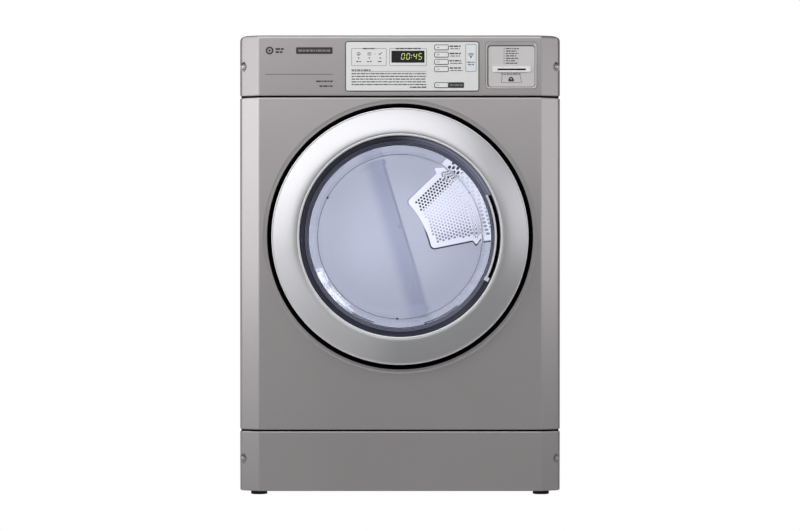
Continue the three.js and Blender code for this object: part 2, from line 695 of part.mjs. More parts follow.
add('blower_housing', blowerHousing(), MATERIALS.blackPlastic);
add('blower_wheel', blowerWheel(), MATERIALS.whitePlastic);
add('lint_duct', lintDuct(), MATERIALS.whitePlastic);
add('lint_filter', lintFilter(), MATERIALS.whitePlastic);
add('exhaust_duct', exhaustDuct(), MATERIALS.galvanised);
add('heater_duct', heaterDuct(), MATERIALS.galvanised);
add('heater_coil', heaterCoil(), MATERIALS.heaterWire);

// ---------------------------------------------------------------- drive

// The motor on its cradle. The shaft runs through it from the blower wheel to the belt pulley.
function motorHousing() {
  const half = [[8, 65], [30, 65], [34, 57], [58, 53], [62, 45]];
  const middle = -85;
  const body = turned([
    ...half.map(([r, reach]) => [r, middle - reach]),
    ...half.map(([r, reach]) => [r, middle + reach]).reverse(),
  ], MOTOR_X, MOTOR_Z, 24);
  const cradle = cut(
    box(MOTOR_X - 48, MOTOR_X + 48, -125, -45, BASE_Z + SHEET + GAP, 96),
    box(MOTOR_X - 45, MOTOR_X + 45, -130, -40, BASE_Z + SHEET + 3, 60),
    rodY(40, -130, -40, MOTOR_X, MOTOR_Z, 16),
  );
  return join(body, cradle);
}

const motorShaft = () =>
  turned([
    [0, -238], [6, -238], [6, -9], [PULLEY_R + 3, -9], [PULLEY_R + 3, -7.6], [PULLEY_R, -7], [PULLEY_R, 7],
    [PULLEY_R + 3, 7.6], [PULLEY_R + 3, 9], [0, 9],
  ], MOTOR_X, MOTOR_Z, 16);

const idlerPulley = () =>
  turned([[5.6, -8], [12, -8], [IDLER_R, -7], [IDLER_R, 7], [12, 8], [5.6, 8]], IDLER_X, IDLER_Z, 24);

const HORN_X = 45; // where the spring pulls on the arm

// The idler arm: a flat lever from its pivot to the idler's stud, with a horn for the spring.
function idlerArm() {
  const [front, back] = [11.5, 15];
  const length = Math.hypot(IDLER_X - ARM_X, IDLER_Z - ARM_Z);
  const lean = Math.atan2(IDLER_X - ARM_X, IDLER_Z - ARM_Z);
  const lever = new THREE.BoxGeometry(18, back - front, length).translate(0, 0, length / 2).rotateY(lean);
  return cut(
    join(
      solid(lever.translate(ARM_X, (front + back) / 2, ARM_Z)),
      rodY(10, front, back, ARM_X, ARM_Z, 16),
      rodY(9, front, back, IDLER_X, IDLER_Z, 16),
      rodY(5, -11, front + 1, IDLER_X, IDLER_Z, 16),
      box(ARM_X, HORN_X + 6, front, back, ARM_Z - 5, ARM_Z + 5),
    ),
    rodY(PIVOT_R + 0.5, front - 1, back + 1, ARM_X, ARM_Z, 12),
  );
}

class Helix extends THREE.Curve {
  constructor(x, y, z0, z1, radius, turns) {
    super();
    Object.assign(this, { x, y, z0, z1, radius, turns });
  }

  getPoint(t, target = new THREE.Vector3()) {
    const angle = t * this.turns * 2 * Math.PI;
    return target.set(
      this.x + this.radius * Math.cos(angle),
      this.y + this.radius * Math.sin(angle),
      this.z0 + (this.z1 - this.z0) * t);
  }
}

const idlerSpring = () => {
  const turns = 6;
  const curve = new Helix(HORN_X, 13.2, BASE_Z + SHEET + 2, ARM_Z - 7, 4.5, turns);
  return wire(curve, 0.9, turns * 8, 2);
};

// The belt's path round pulleys [x, z, signed radius]: a negative radius is a pulley that the belt's
// back runs on. It runs round the loop with every positive pulley on its left.
function beltPath(pulleys, grow) {
  const step = THREE.MathUtils.degToRad(6);
  const rounds = pulleys.map(([x, z, r]) => ({ x, z, r: r + grow }));
  const tangents = rounds.map((a, i) => {
    const b = rounds[(i + 1) % rounds.length];
    const [dx, dz] = [b.x - a.x, b.z - a.z];
    const span = Math.hypot(dx, dz);
    return Math.atan2(dz, dx) - Math.PI / 2 - Math.asin((b.r - a.r) / span);
  });
  const points = [];
  rounds.forEach((at, i) => {
    const arrive = tangents[(i + rounds.length - 1) % rounds.length];
    let sweep = tangents[i] - arrive;
    const turn = Math.sign(at.r);
    while (sweep * turn < 0) sweep += turn * 2 * Math.PI;
    while (sweep * turn > 2 * Math.PI) sweep -= turn * 2 * Math.PI;
    const count = Math.max(2, Math.ceil(Math.abs(sweep) / step));
    for (let k = 0; k <= count; k += 1) {
      const angle = arrive + (sweep * k) / count;
      points.push([at.x + at.r * Math.cos(angle), at.z + at.r * Math.sin(angle)]);
    }
  });
  return points;
}

function driveBelt() {
  const clear = 1;
  const thick = 2.5;
  const pulleys = [
    [0, DRUM_Z, DRUM_R + clear],
    [IDLER_X, IDLER_Z, -IDLER_R - clear - thick],
    [MOTOR_X, MOTOR_Z, PULLEY_R + clear],
  ];
  const [inside, outside] = [0, thick].map((grow) => outline(beltPath(pulleys, grow)));
  return cut(prismY(outside, -6, 6), prismY(inside, -7, 7));
}

add('motor_housing', motorHousing(), MATERIALS.castMetal);
add('motor_shaft', motorShaft(), MATERIALS.plainSteel);
add('idler_pulley', idlerPulley(), MATERIALS.blackPlastic);
add('idler_arm', idlerArm(), MATERIALS.galvanised);
add('idler_spring', idlerSpring(), MATERIALS.plainSteel);
add('drive_belt', driveBelt(), MATERIALS.rubber);

// ---------------------------------------------------------------- door

const NOTCH_HALF = 52; // half height of the room cut for the hinge

// The silver ring: a shallow dome open at the back, notched for the hinge.
function doorRing() {
  const shell = turned([
    [RING_R, -322], [RING_R, -359.5], [RING_R - 2.5, -363.5], [250, -373.5], [223, DOOR_FRONT],
    [216, DOOR_FRONT + 2], [213.5, DOOR_FRONT + 9], [216, DOOR_FRONT + 9.9], [218.2, DOOR_FRONT + 4.5],
    [223, DOOR_FRONT + 2.7], [249.5, -370.9], [270, -361], [RING_R - 2.5, -358], [RING_R - 2.5, -322],
  ], 0, DOOR_Z);
  return cut(shell, box(-RING_R - 4, -240, -358, -320, DOOR_Z - NOTCH_HALF, DOOR_Z + NOTCH_HALF));
}

// The dark inner frame: a cone inside the ring, the glass's seat, and the plate that carries the
// hinge and the strike. The finger pocket opens through its cone on the right.
const GLASS_SEAT = -346.1;
const POCKET_ANGLE = 24;

function doorFrame() {
  const body = turned([
    [217, -372], [211, -372], [196, -353], [194, -352], [194, GLASS_SEAT], [204.2, GLASS_SEAT],
    [204.2, -326], [222, -326], [222, -349], [262, -349], [262, -352], [219, -352],
  ], 0, DOOR_Z);
  const angle = THREE.MathUtils.degToRad(POCKET_ANGLE);
  const pocket = new THREE.Shape();
  pocket.absarc(0, DOOR_Z, 226, -angle, angle, false);
  pocket.absarc(0, DOOR_Z, 199, angle, -angle, true);
  return cut(
    body,
    prismY(pocket, -369, -358, 8),
    box(-RING_R, -232, -353, -348, DOOR_Z - NOTCH_HALF, DOOR_Z + NOTCH_HALF),
  );
}

const doorGlass = () =>
  turned([
    [0, -316], [173, -316], [191.5, GLASS_SEAT + GAP], [203.6, GLASS_SEAT + GAP], [203.6, -341],
    [195.5, -341], [177.5, -311.3], [0, -311.3],
  ], 0, DOOR_Z);

// The hinge: a bracket on the recess floor with two goose-neck ears, a pin, and the door's leaf.
const KNUCKLE_R = 6.5;
const PIN_R = 3;

function hingeBracket() {
  const ears = [-1, 1].map((side) => {
    const [z0, z1] = side > 0 ? [DOOR_Z + 31, DOOR_Z + 36] : [DOOR_Z - 36, DOOR_Z - 31];
    return join(
      rodZ(KNUCKLE_R, z0, z1, HINGE_X, HINGE_Y),
      box(HINGE_X, HINGE_X + 21, HINGE_Y - 3, HINGE_Y + 6.4, z0, z1),
      box(HINGE_X + 11, HINGE_X + 21, HINGE_Y - 3, RECESS_FLOOR - 2, z0, z1),
    );
  });
  const plate = box(
    HINGE_X + 10, HINGE_X + 34, RECESS_FLOOR - 2.4, RECESS_FLOOR - GAP, DOOR_Z - 45, DOOR_Z + 45);
  const bore = rodZ(PIN_R + 0.4, DOOR_Z - 60, DOOR_Z + 60, HINGE_X, HINGE_Y, 12);
  return cut(join(plate, ...ears), bore);
}

function hingeLeaf() {
  const body = join(
    rodZ(KNUCKLE_R, DOOR_Z - 30, DOOR_Z + 30, HINGE_X, HINGE_Y),
    box(HINGE_X + 1, HINGE_X + 9, HINGE_Y - 1, HINGE_Y + 8.4, DOOR_Z - 28, DOOR_Z + 28),
    box(HINGE_X + 2, HINGE_X + 36, HINGE_Y + 5.4, HINGE_Y + 8.4, DOOR_Z - 28, DOOR_Z + 28),
  );
  return cut(body, rodZ(PIN_R + 0.4, DOOR_Z - 60, DOOR_Z + 60, HINGE_X, HINGE_Y, 12));
}

// The strike on the door and the latch that it enters, behind the slot in the recess floor.
const doorStrike = () => join(
  box(LATCH_X - 14, LATCH_X + 12, -348.6, -346.4, DOOR_Z - 14, DOOR_Z + 14),
  box(LATCH_X - 2.5, LATCH_X + 2.5, -347, -303, DOOR_Z - 7, DOOR_Z + 7),
  box(LATCH_X - 4.5, LATCH_X + 3.5, -307, -301, DOOR_Z - 7, DOOR_Z + 7),
);

const doorLatch = () => cut(
  box(LATCH_X - 15, LATCH_X + 16, -316.6, FRONT_WALL - 1, DOOR_Z - 24, DOOR_Z + 24),
  box(LATCH_X - 9, LATCH_X + 10, -318, -296, DOOR_Z - 12, DOOR_Z + 12),
);

add('door_ring', doorRing(), MATERIALS.ringSilver);
add('door_frame', doorFrame(), MATERIALS.darkPlastic);
add('door_glass', doorGlass(), MATERIALS.glass);
add('door_gasket', tubeY(206, 221, -325.6, RECESS_FLOOR - 0.5, 0, DOOR_Z), MATERIALS.rubber);
add('hinge_bracket', hingeBracket(), MATERIALS.plainSteel);
add('hinge_pin', rodZ(PIN_R, DOOR_Z - 40, DOOR_Z + 40, HINGE_X, HINGE_Y, 12), MATERIALS.plainSteel);
add('hinge_leaf', hingeLeaf(), MATERIALS.plainSteel);
add('door_strike', doorStrike(), MATERIALS.plainSteel);
add('door_latch', doorLatch(), MATERIALS.blackPlastic);

export default assembly;
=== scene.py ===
"""The looks of a commercial tumble dryer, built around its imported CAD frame.

Lengths are in millimetres until a mesh is made. X runs to the right seen from the front, the front
faces -Y, and Z is up. Each piece is built where it stands and rides on a CAD body.
"""

import math

import bmesh
import bpy
from mathutils import Matrix, Vector


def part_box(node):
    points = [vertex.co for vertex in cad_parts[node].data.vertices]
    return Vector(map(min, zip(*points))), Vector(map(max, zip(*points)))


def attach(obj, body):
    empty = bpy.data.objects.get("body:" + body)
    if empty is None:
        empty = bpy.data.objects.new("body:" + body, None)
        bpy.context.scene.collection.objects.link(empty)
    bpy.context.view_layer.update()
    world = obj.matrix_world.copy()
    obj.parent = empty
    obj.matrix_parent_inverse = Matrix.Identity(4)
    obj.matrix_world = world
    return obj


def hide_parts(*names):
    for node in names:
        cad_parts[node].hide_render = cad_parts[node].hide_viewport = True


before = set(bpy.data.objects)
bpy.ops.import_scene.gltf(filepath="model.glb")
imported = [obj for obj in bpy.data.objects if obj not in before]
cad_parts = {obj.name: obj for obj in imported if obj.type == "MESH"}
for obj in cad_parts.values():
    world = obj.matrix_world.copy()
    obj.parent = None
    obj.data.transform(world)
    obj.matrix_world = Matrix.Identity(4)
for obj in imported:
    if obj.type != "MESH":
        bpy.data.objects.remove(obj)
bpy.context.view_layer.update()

MM = 0.001


def cad(node):
    """The CAD node's box in millimetres, as (x0, x1, y0, y1, z0, z1)."""
    low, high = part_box(node)
    return tuple(v / MM for pair in zip(low, high) for v in pair)


def middle(node):
    x0, x1, y0, y1, z0, z1 = cad(node)
    return (x0 + x1) / 2, (y0 + y1) / 2, (z0 + z1) / 2


# ---------------------------------------------------------------- outlines


def rounded(points, radii, steps=6, closed=True):
    """The points of an outline with its corners rounded. An open outline keeps its ends."""
    out = []
    count = len(points)
    for i, point in enumerate(points):
        radius = radii[i] if isinstance(radii, (list, tuple)) else radii
        at = Vector(point)
        if radius <= 0 or (not closed and i in (0, count - 1)):
            out.append(tuple(at))
            continue
        before = (Vector(points[i - 1]) - at).normalized()
        after = (Vector(points[(i + 1) % count]) - at).normalized()
        half = before.angle(after) / 2
        centre = at + (before + after).normalized() * (radius / math.sin(half))
        reach = radius / math.tan(half)
        start, end = at + before * reach - centre, at + after * reach - centre
        first = math.atan2(start.y, start.x)
        sweep = (math.atan2(end.y, end.x) - first + math.pi) % (2 * math.pi) - math.pi
        for k in range(steps + 1):
            angle = first + sweep * k / steps
            out.append((centre.x + radius * math.cos(angle), centre.y + radius * math.sin(angle)))
    return out


def rectangle(x0, x1, z0, z1, radius=0.0, steps=6):
    return rounded([(x0, z0), (x1, z0), (x1, z1), (x0, z1)], radius, steps)


def circle(x, z, radius, count=32, turn=0.0):
    angles = [turn + 2 * math.pi * k / count for k in range(count)]
    return [(x + radius * math.cos(a), z + radius * math.sin(a)) for a in angles]


def band(x, z, inner, outer, first, last, steps=24):
    """The outline of a piece of a ring, between two angles in degrees."""
    angles = [math.radians(first + (last - first) * k / steps) for k in range(steps + 1)]
    out = [(x + outer * math.cos(a), z + outer * math.sin(a)) for a in angles]
    out += [(x + inner * math.cos(a), z + inner * math.sin(a)) for a in reversed(angles)]
    return out


def grown(node, gap, radius, steps=6):
    """The outline of a CAD node seen from the front, grown by a gap."""
    x0, x1, _, _, z0, z1 = cad(node)
    return rectangle(x0 - gap, x1 + gap, z0 - gap, z1 + gap, radius, steps)


# ---------------------------------------------------------------- meshes


def loop_at(bm, outline, y):
    verts = [bm.verts.new((x, y, z)) for x, z in outline]
    return verts, [bm.edges.new((verts[i - 1], verts[i])) for i in range(len(verts))]


def add_plate(bm, outer, y0, y1, holes=()):
    """A flat plate between y0 and y1."""
    start = set(bm.faces)
    if holes:
        edges = []
        for outline in (outer, *holes):
            edges += loop_at(bm, outline, y0)[1]
        bmesh.ops.triangle_fill(bm, use_beauty=True, use_dissolve=False, edges=edges)
    else:
        bm.faces.new(loop_at(bm, outer, y0)[0])
    faces = [f for f in bm.faces if f not in start]
    made = bmesh.ops.extrude_face_region(bm, geom=faces, use_keep_orig=True)
    moved = [v for v in made["geom"] if isinstance(v, bmesh.types.BMVert)]
    bmesh.ops.translate(bm, verts=moved, vec=(0, y1 - y0, 0))


def add_lathe(bm, profile, x, z, segments=160, axis="Y"):
    """A profile of (radius, height) turned about Y or Z. It closes on itself unless it ends on the axis."""
    rings = []
    for radius, height in profile:
        if radius < 1e-6:
            at = (x, height, z) if axis == "Y" else (x, z, height)
            rings.append([bm.verts.new(at)])
            continue
        ring = []
        for a, b in circle(x, z, radius, segments):
            ring.append(bm.verts.new((a, height, b) if axis == "Y" else (a, b, height)))
        rings.append(ring)
    if len(rings[0]) > 1 and len(rings[-1]) > 1:
        rings.append(rings[0])
    for low, high in zip(rings, rings[1:]):
        for i in range(segments):
            j = (i + 1) % segments
            corners = [low[i % len(low)], low[j % len(low)], high[j % len(high)], high[i % len(high)]]
            corners = list(dict.fromkeys(corners))
            if len(corners) > 2:
                bm.faces.new(corners)


def add_box(bm, x0, x1, y0, y1, z0, z1):
    verts = [bm.verts.new((x, y, z)) for x in (x0, x1) for y in (y0, y1) for z in (z0, z1)]
    for corners in ((0, 1, 3, 2), (4, 6, 7, 5), (0, 4, 5, 1), (2, 3, 7, 6), (0, 2, 6, 4), (1, 5, 7, 3)):
        bm.faces.new([verts[i] for i in corners])


def add_skin(bm, rows, closed=True, capped=False):
    """Faces between rows of points; closed joins the ends of each row, and capped closes the whole."""
    rows = [[bm.verts.new(point) for point in row] for row in rows]
    for low, high in zip(rows, rows[1:]):
        for i in range(len(low) if closed else len(low) - 1):
            j = (i + 1) % len(low)
            bm.faces.new((low[i], low[j], high[j], high[i]))
    if capped:
        bm.faces.new(rows[0])
        bm.faces.new(rows[-1])
    return rows


def piece(name, bm, look, node=None, body="cabinet", bevel=0.0, steps=3, angle=32, flat=False, weld=True):
    """Turns the bmesh into an object that rides on a body, and may stand for a CAD node."""
    if weld:
        bmesh.ops.remove_doubles(bm, verts=bm.verts, dist=0.002)
    bmesh.ops.recalc_face_normals(bm, faces=bm.faces)
    bmesh.ops.scale(bm, vec=(MM, MM, MM), verts=bm.verts)
    mesh = bpy.data.meshes.new(name)
    bm.to_mesh(mesh)
    bm.free()
    made = bpy.data.objects.new(name, mesh)
    bpy.context.scene.collection.objects.link(made)
    mesh.materials.append(look)
    if not flat:
        mesh.shade_smooth()
        mesh.set_sharp_from_angle(angle=math.radians(angle))
    if bevel:
        edges = made.modifiers.new("edges", "BEVEL")
        edges.width = bevel * MM
        edges.segments = steps
        edges.limit_method = "ANGLE"
        edges.angle_limit = math.radians(angle)
        edges.harden_normals = True
    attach(made, body)
    if node:
        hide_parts(node)
    return made


def plate(name, look, outer, y0, y1, holes=(), **options):
    """A piece that is one flat plate between y0 and y1."""
    bm = bmesh.new()
    add_plate(bm, outer, y0, y1, holes)
    return piece(name, bm, look, **options)


def lathe(name, look, profile, x, z, segments, **options):
    """A piece that is one profile turned about Y."""
    bm = bmesh.new()
    add_lathe(bm, profile, x, z, segments)
    return piece(name, bm, look, **options)


def thicken(made, thickness, offset=-1.0):
    """Gives a bare surface the thickness of its sheet."""
    sheet = made.modifiers.new("sheet", "SOLIDIFY")
    sheet.thickness = thickness * MM
    sheet.offset = offset


def face_along(made, way):
    """Turns a surface's faces so that they face along a direction."""
    if sum(face.normal.dot(way) * face.area for face in made.data.polygons) < 0:
        made.data.flip_normals()


def carve(target, cutter_bm, operation="DIFFERENCE"):
    """Cuts the object by another solid, and keeps the result as its mesh."""
    bmesh.ops.recalc_face_normals(cutter_bm, faces=cutter_bm.faces)
    bmesh.ops.scale(cutter_bm, vec=(MM, MM, MM), verts=cutter_bm.verts)
    mesh = bpy.data.meshes.new("cutter")
    cutter_bm.to_mesh(mesh)
    cutter_bm.free()
    cutter = bpy.data.objects.new("cutter", mesh)
    bpy.context.scene.collection.objects.link(cutter)
    cut = target.modifiers.new("cut", "BOOLEAN")
    cut.object = cutter
    cut.operation = operation
    cut.solver = "EXACT"
    bpy.context.view_layer.update()
    graph = bpy.context.evaluated_depsgraph_get()
    made = bpy.data.meshes.new_from_object(target.evaluated_get(graph))
    target.modifiers.clear()
    target.data = made
    bpy.data.objects.remove(cutter)
    target.data.shade_smooth()
    target.data.set_sharp_from_angle(angle=math.radians(32))
    return target


def carve_plate(target, outline, y0, y1):
    bm = bmesh.new()
    add_plate(bm, outline, y0, y1)
    carve(target, bm)


def carve_box(target, *sides):
    bm = bmesh.new()
    add_box(bm, *sides)
    carve(target, bm)


def shade_flats(made):
    """Makes the large flat faces shade flat, and the roundings between them smooth."""
    normals = made.modifiers.new("normals", "WEIGHTED_NORMAL")
    normals.keep_sharp = True
    normals.weight = 90


# ---------------------------------------------------------------- materials


class Nodes:
    """Adds and joins shader nodes."""

    def __init__(self, tree):
        self.tree = tree

    def set(self, socket, value):
        if isinstance(value, bpy.types.NodeSocket):
            self.tree.links.new(value, socket)
        else:
            socket.default_value = value

    def add(self, kind, inputs=None, **settings):
        node = self.tree.nodes.new("ShaderNode" + kind)
        for key, value in settings.items():
            setattr(node, key, value)
        for key, value in (inputs or {}).items():
            self.set(node.inputs[key], value)
        return node

    def maths(self, operation, *values):
        return self.add("Math", dict(enumerate(values)), operation=operation).outputs[0]

    def vector(self, operation, *values):
        node = self.add("VectorMath", dict(enumerate(values)), operation=operation)
        return node.outputs["Value" if operation == "DOT_PRODUCT" else "Vector"]

    def ramp(self, value, start, end, low=0.0, high=1.0, smooth=False):
        """Goes from low to high as the value goes from start to end, and stays there beyond them."""
        inputs = {"Value": value, "From Min": start, "From Max": end, "To Min": low, "To Max": high}
        kind = "SMOOTHSTEP" if smooth else "LINEAR"
        return self.add("MapRange", inputs, interpolation_type=kind).outputs["Result"]


class Surface(Nodes):
    """The nodes of a new material."""

    def __init__(self, name, slot=None):
        self.material = bpy.data.materials.new(name)
        self.material.use_nodes = True
        super().__init__(self.material.node_tree)
        self.bsdf = self.tree.nodes["Principled BSDF"]
        self.output = self.tree.nodes["Material Output"].inputs["Surface"]

    def look(self, values):
        for key, value in values.items():
            self.set(self.bsdf.inputs[key], value)

    def position(self, stretch=(1, 1, 1)):
        place = self.add("TexCoord").outputs["Object"]
        return self.add("Mapping", {"Vector": place, "Scale": stretch}).outputs["Vector"]

    def noise(self, scale, detail=3.0, stretch=(1, 1, 1)):
        inputs = {"Vector": self.position(stretch), "Scale": scale, "Detail": detail}
        return self.add("TexNoise", inputs).outputs["Fac"]

    def uneven(self, scale, detail, low, high):
        """A value that wanders between low and high."""
        return self.ramp(self.noise(scale, detail), 0.3, 0.7, low, high)

    def mix(self, factor, first, second):
        return self.add("Mix", {0: factor, 6: first, 7: second}, data_type="RGBA").outputs[2]

    def either(self, factor, first, second):
        """The first shader where the factor is 0, and the second where it is 1."""
        return self.add("MixShader", {0: factor, 1: first, 2: second}).outputs[0]

    def relief(self, height, strength, depth):
        bump = self.add("Bump", {"Height": height, "Strength": strength, "Distance": depth * MM})
        self.look({"Normal": bump.outputs["Normal"]})


def linear(colour):
    """A colour given as 0-255 screen values, as linear light."""
    values = [c / 255 for c in colour]
    return tuple(v / 12.92 if v <= 0.04045 else ((v + 0.055) / 1.055) ** 2.4 for v in values) + (1.0,)


def scaled(colour, factor):
    return tuple(min(1.0, c * factor) for c in colour[:3]) + (1.0,)


def finish(name, colour, rough, metal=0.0, slot=None, mottle=(7, 0.05), smudge=(3, 0.06), grain=None,
           flake=0.0, painted_sheen_side=None, **more):
    """A surface whose colour, roughness and relief all vary a little.

    mottle is (scale, amount) of the colour's variation and smudge of the roughness's. grain is
    (scale, stretch, strength, depth in mm) of the relief. flake is the share of metal flakes.
    The sheen side is (angle from +X, colour) of a painted sheen that makes one side round the door paler.
    more holds other inputs of the shader.
    """
    nodes = Surface(name, slot)
    base = linear(colour)
    scale, amount = mottle
    tint = nodes.mix(nodes.uneven(scale, 5, 0, 1), scaled(base, 1 - amount), scaled(base, 1 + amount))
    # Painted sheen: paler towards one side of the door, in place of a reflection.
    if painted_sheen_side:
        angle, paler = math.radians(painted_sheen_side[0]), linear(painted_sheen_side[1])
        out = nodes.vector("SUBTRACT", nodes.position(), Vector(middle("door_ring")) * MM)
        out = nodes.vector("NORMALIZE", nodes.vector("MULTIPLY", out, (1, 0, 1)))
        towards = nodes.vector("DOT_PRODUCT", out, (math.cos(angle), 0, math.sin(angle)))
        tint = nodes.mix(nodes.ramp(towards, 0.72, 0.98, smooth=True), tint, paler)
    if flake:
        tint = nodes.mix(nodes.uneven(2600, 0, 0, flake), tint, scaled(base, 1.6))
    scale, amount = smudge
    roughness = nodes.uneven(scale, 4, rough - amount, rough + amount)
    nodes.look({"Base Color": tint, "Metallic": metal, "Roughness": roughness})
    nodes.look(more)
    if grain:
        scale, stretch, strength, depth = grain
        nodes.relief(nodes.noise(scale, 3, stretch), strength, depth)
    return nodes.material


def clear_glass():
    """Clear glass that lets light through to what is behind it."""
    nodes = Surface("door_glass_clear", "glass")
    nodes.look({"Base Color": linear((246, 249, 255)), "Roughness": nodes.uneven(5, 4, 0.0, 0.015),
                "Transmission Weight": 1.0, "IOR": 1.46})
    ray = nodes.add("LightPath").outputs
    lighting = nodes.maths("MAXIMUM", ray["Is Shadow Ray"], ray["Is Diffuse Ray"])
    through = nodes.add("BsdfTransparent", {"Color": linear((240, 244, 252))})
    nodes.set(nodes.output, nodes.either(lighting, nodes.bsdf.outputs[0], through.outputs[0]))
    return nodes.material


EVEN = (1, 1, 1)
PAINT = {"smudge": (3, 0.02), "mottle": (3, 0.015), "grain": (900, EVEN, 0.12, 0.06), "flake": 0.15}

paint = finish("body_paint_grey", (184, 180, 181), 0.44, 0.75, "body_paint", **PAINT)
control_paint = finish("body_paint_grey_control", (170, 166, 167), 0.44, 0.75, "body_paint", **PAINT)
side_paint = finish("side_paint_grey", (158, 155, 155), 0.5, 0.2, "side_paint",
                    **{**PAINT, "mottle": (3, 0.03), "smudge": (3, 0.06)})
card_grey = finish("card_plate_grey", (214, 210, 211), 0.42, 0.2, "body_paint",
                   **{**PAINT, "mottle": (7, 0.05), "smudge": (3, 0.06)})
# The ring is paler towards its lower left, as a painted highlight.
silver = finish("ring_silver_satin", (198, 198, 202), 0.44, 0.8, "ring_silver", (4, 0.015), (4, 0.02),
                (1400, EVEN, 0.06, 0.04), flake=0.1, painted_sheen_side=(228, (228, 228, 232)))
bright_lip = finish("bright_trim", (250, 250, 252), 0.35, 0.2, "ring_silver", (12, 0.02))
bright_screw = finish("screw_bright", (232, 231, 230), 0.32, 0.35, "plain_steel", (60, 0.03))
# The frame is paler towards its upper right, as a painted reflection.
dark_frame = finish("frame_blue_grey", (50, 51, 68), 0.2, 0.0, "dark_plastic", (9, 0.08),
                    grain=(700, EVEN, 0.05, 0.03), painted_sheen_side=(52, (172, 175, 200)),
                    **{"Coat Weight": 0.4, "Coat Roughness": 0.12})
# Pale lines on the frame's steps, as painted highlights.
frame_line = finish("painted_step_highlight_grey", (150, 153, 180), 0.3, 0.0, "dark_plastic", (9, 0.05))
black = finish("black_plastic_matt", (22, 21, 22), 0.55, 0, "black_plastic", grain=(500, EVEN, 0.2, 0.06))
# Near-black for painted shade in gaps, recesses, grooves and slots.
gap_shade_black = finish("painted_gap_shade", (7, 6, 7), 0.9, 0, "black_plastic", **{"Specular IOR Level": 0.1})
white = finish("fascia_white", (244, 244, 244), 0.42, 0, "white_plastic", (5, 0.015),
               grain=(800, EVEN, 0.08, 0.03))
button_white = finish("button_white", (252, 252, 252), 0.32, 0, "white_plastic", (30, 0.02))
pale_blue = finish("wireless_panel_pale", (243, 247, 251), 0.4, 0, "white_plastic")
ink = finish("print_dark", (48, 47, 50), 0.6, 0, "black_plastic", (40, 0.1))
ink_grey = finish("print_grey", (120, 119, 121), 0.6, 0, "black_plastic", (40, 0.1))
ink_pale = finish("print_pale", (134, 132, 134), 0.6, 0, "white_plastic", (40, 0.04))
display = finish("display_black", (16, 15, 16), 0.12, 0, "display_glass", **{"Coat Weight": 1.0})
DIGIT_GREEN = (186, 200, 116)
digit = finish("display_digits", DIGIT_GREEN, 0.4, 0, "display_glass", (80, 0.05),
               **{"Emission Color": linear(DIGIT_GREEN), "Emission Strength": 0.85})
rubber = finish("rubber_black", (30, 30, 31), 0.7, 0, "rubber", (14, 0.15), grain=(420, EVEN, 0.3, 0.12))
felt = finish("felt_cream", (220, 214, 200), 0.95, 0, "felt", (60, 0.12), grain=(900, EVEN, 0.9, 0.6),
              **{"Sheen Weight": 0.5})
galvanised = finish("galvanised_sheet", (172, 176, 180), 0.42, 0.75, "galvanised", (16, 0.07), (22, 0.12),
                    (90, EVEN, 0.1, 0.05))
drum_steel = finish("drum_steel_brushed", (196, 200, 210), 0.3, 0.85, "drum_steel", (3, 0.04),
                    grain=(40, (1, 30, 1), 0.2, 0.05), Anisotropic=0.4)
grille_steel = finish("grille_steel", (230, 231, 238), 0.42, 0.0, "drum_steel", (10, 0.03))
zinc = finish("zinc_plated", (205, 206, 208), 0.28, 0.9, "plain_steel", (90, 0.08))
cast = finish("cast_paint", (92, 95, 99), 0.55, 0.5, "cast_metal", (18, 0.1), grain=(220, EVEN, 0.4, 0.3))
board_green = finish("board_green", (32, 92, 54), 0.45, 0, "circuit_board", (60, 0.2))
heat_stain = finish("heat_stained", (108, 92, 82), 0.5, 0.7, "heater_wire", (30, 0.3))
mesh_grey = finish("filter_mesh", (186, 188, 192), 0.5, 0.4, "white_plastic", (200, 0.1))
clear = clear_glass()

# ---------------------------------------------------------------- sizes taken from the CAD

_, HALF, FACE, BACK, _, _ = cad("front_panel")
BEND = 302.0
STRIP_END = (338.0, FACE + 20.0)
DOOR_X, _, DOOR_Z = middle("door_ring")
DOOR = (DOOR_X, DOOR_Z)
RING_R = cad("door_ring")[1]
OPENING_R = RING_R + 7.5
DRUM_Z = middle("drum_shell")[2]
DRUM = (0, DRUM_Z)
DRUM_R = cad("drum_shell")[1]
REAR_WALL = cad("rear_bulkhead")[3] - 1.0
RECESS = -318.0
POCKET_FLOOR = cad("control_screw_left")[2] + 4.0
SCREW_X = middle("control_screw_right")[0]
FORWARD = Vector((0, -1, 0))

# ---------------------------------------------------------------- covers


def plan(limit, inset, back):
    """A cover's plan: its flat face, and on both sides the slanted strip and the side to its back edge."""
    face = Vector((BEND, FACE))
    strip = (Vector(STRIP_END) - face).normalized()
    inward = Vector((-strip.y, strip.x)) * inset
    side = limit - inset
    y = FACE + inset
    bend_x = face.x + inward.x + (y - face.y - inward.y) * strip.x / strip.y
    corner_y = y + (side - bend_x) * strip.y / strip.x
    points = [(bend_x - 4, y), (bend_x, y), (side, corner_y), (side, back)]
    right = rounded(points, [0, max(10 - inset, 1), max(12 - inset, 1.5), 0], 8, closed=False)
    return [(-x, y) for x, y in reversed(right)] + right


def level(line, z):
    return [(x, y, z) for x, y in line]


def cover_rows(z0, z1, low, high, edge_low, edge_high):
    """The heights of a cover's rows of points, each with its side limit and its inset."""
    def limit(z):
        out = HALF
        for radius, depth in ((low, z0 + low - z), (high, z - z1 + high)):
            if depth > 0:
                out = min(out, HALF - radius + math.sqrt(max(radius ** 2 - depth ** 2, 0)))
        return out

    turns = [k * math.pi / 12 for k in range(7)]
    rows = [(z0, 13.5)]
    rows += [(z0 + edge_low * (1 - math.sin(a)), edge_low * (1 - math.cos(a))) for a in reversed(turns)]
    if high > edge_high:
        rise = high - edge_high
        rows += [(z1 - high + rise * math.sin(k * math.pi / 10), 0.0) for k in range(5)]
    rows += [(z1 - edge_high * (1 - math.sin(a)), edge_high * (1 - math.cos(a))) for a in turns]
    rows.append((z1, 13.5))
    return [(z, limit(z), inset) for z, inset in rows]


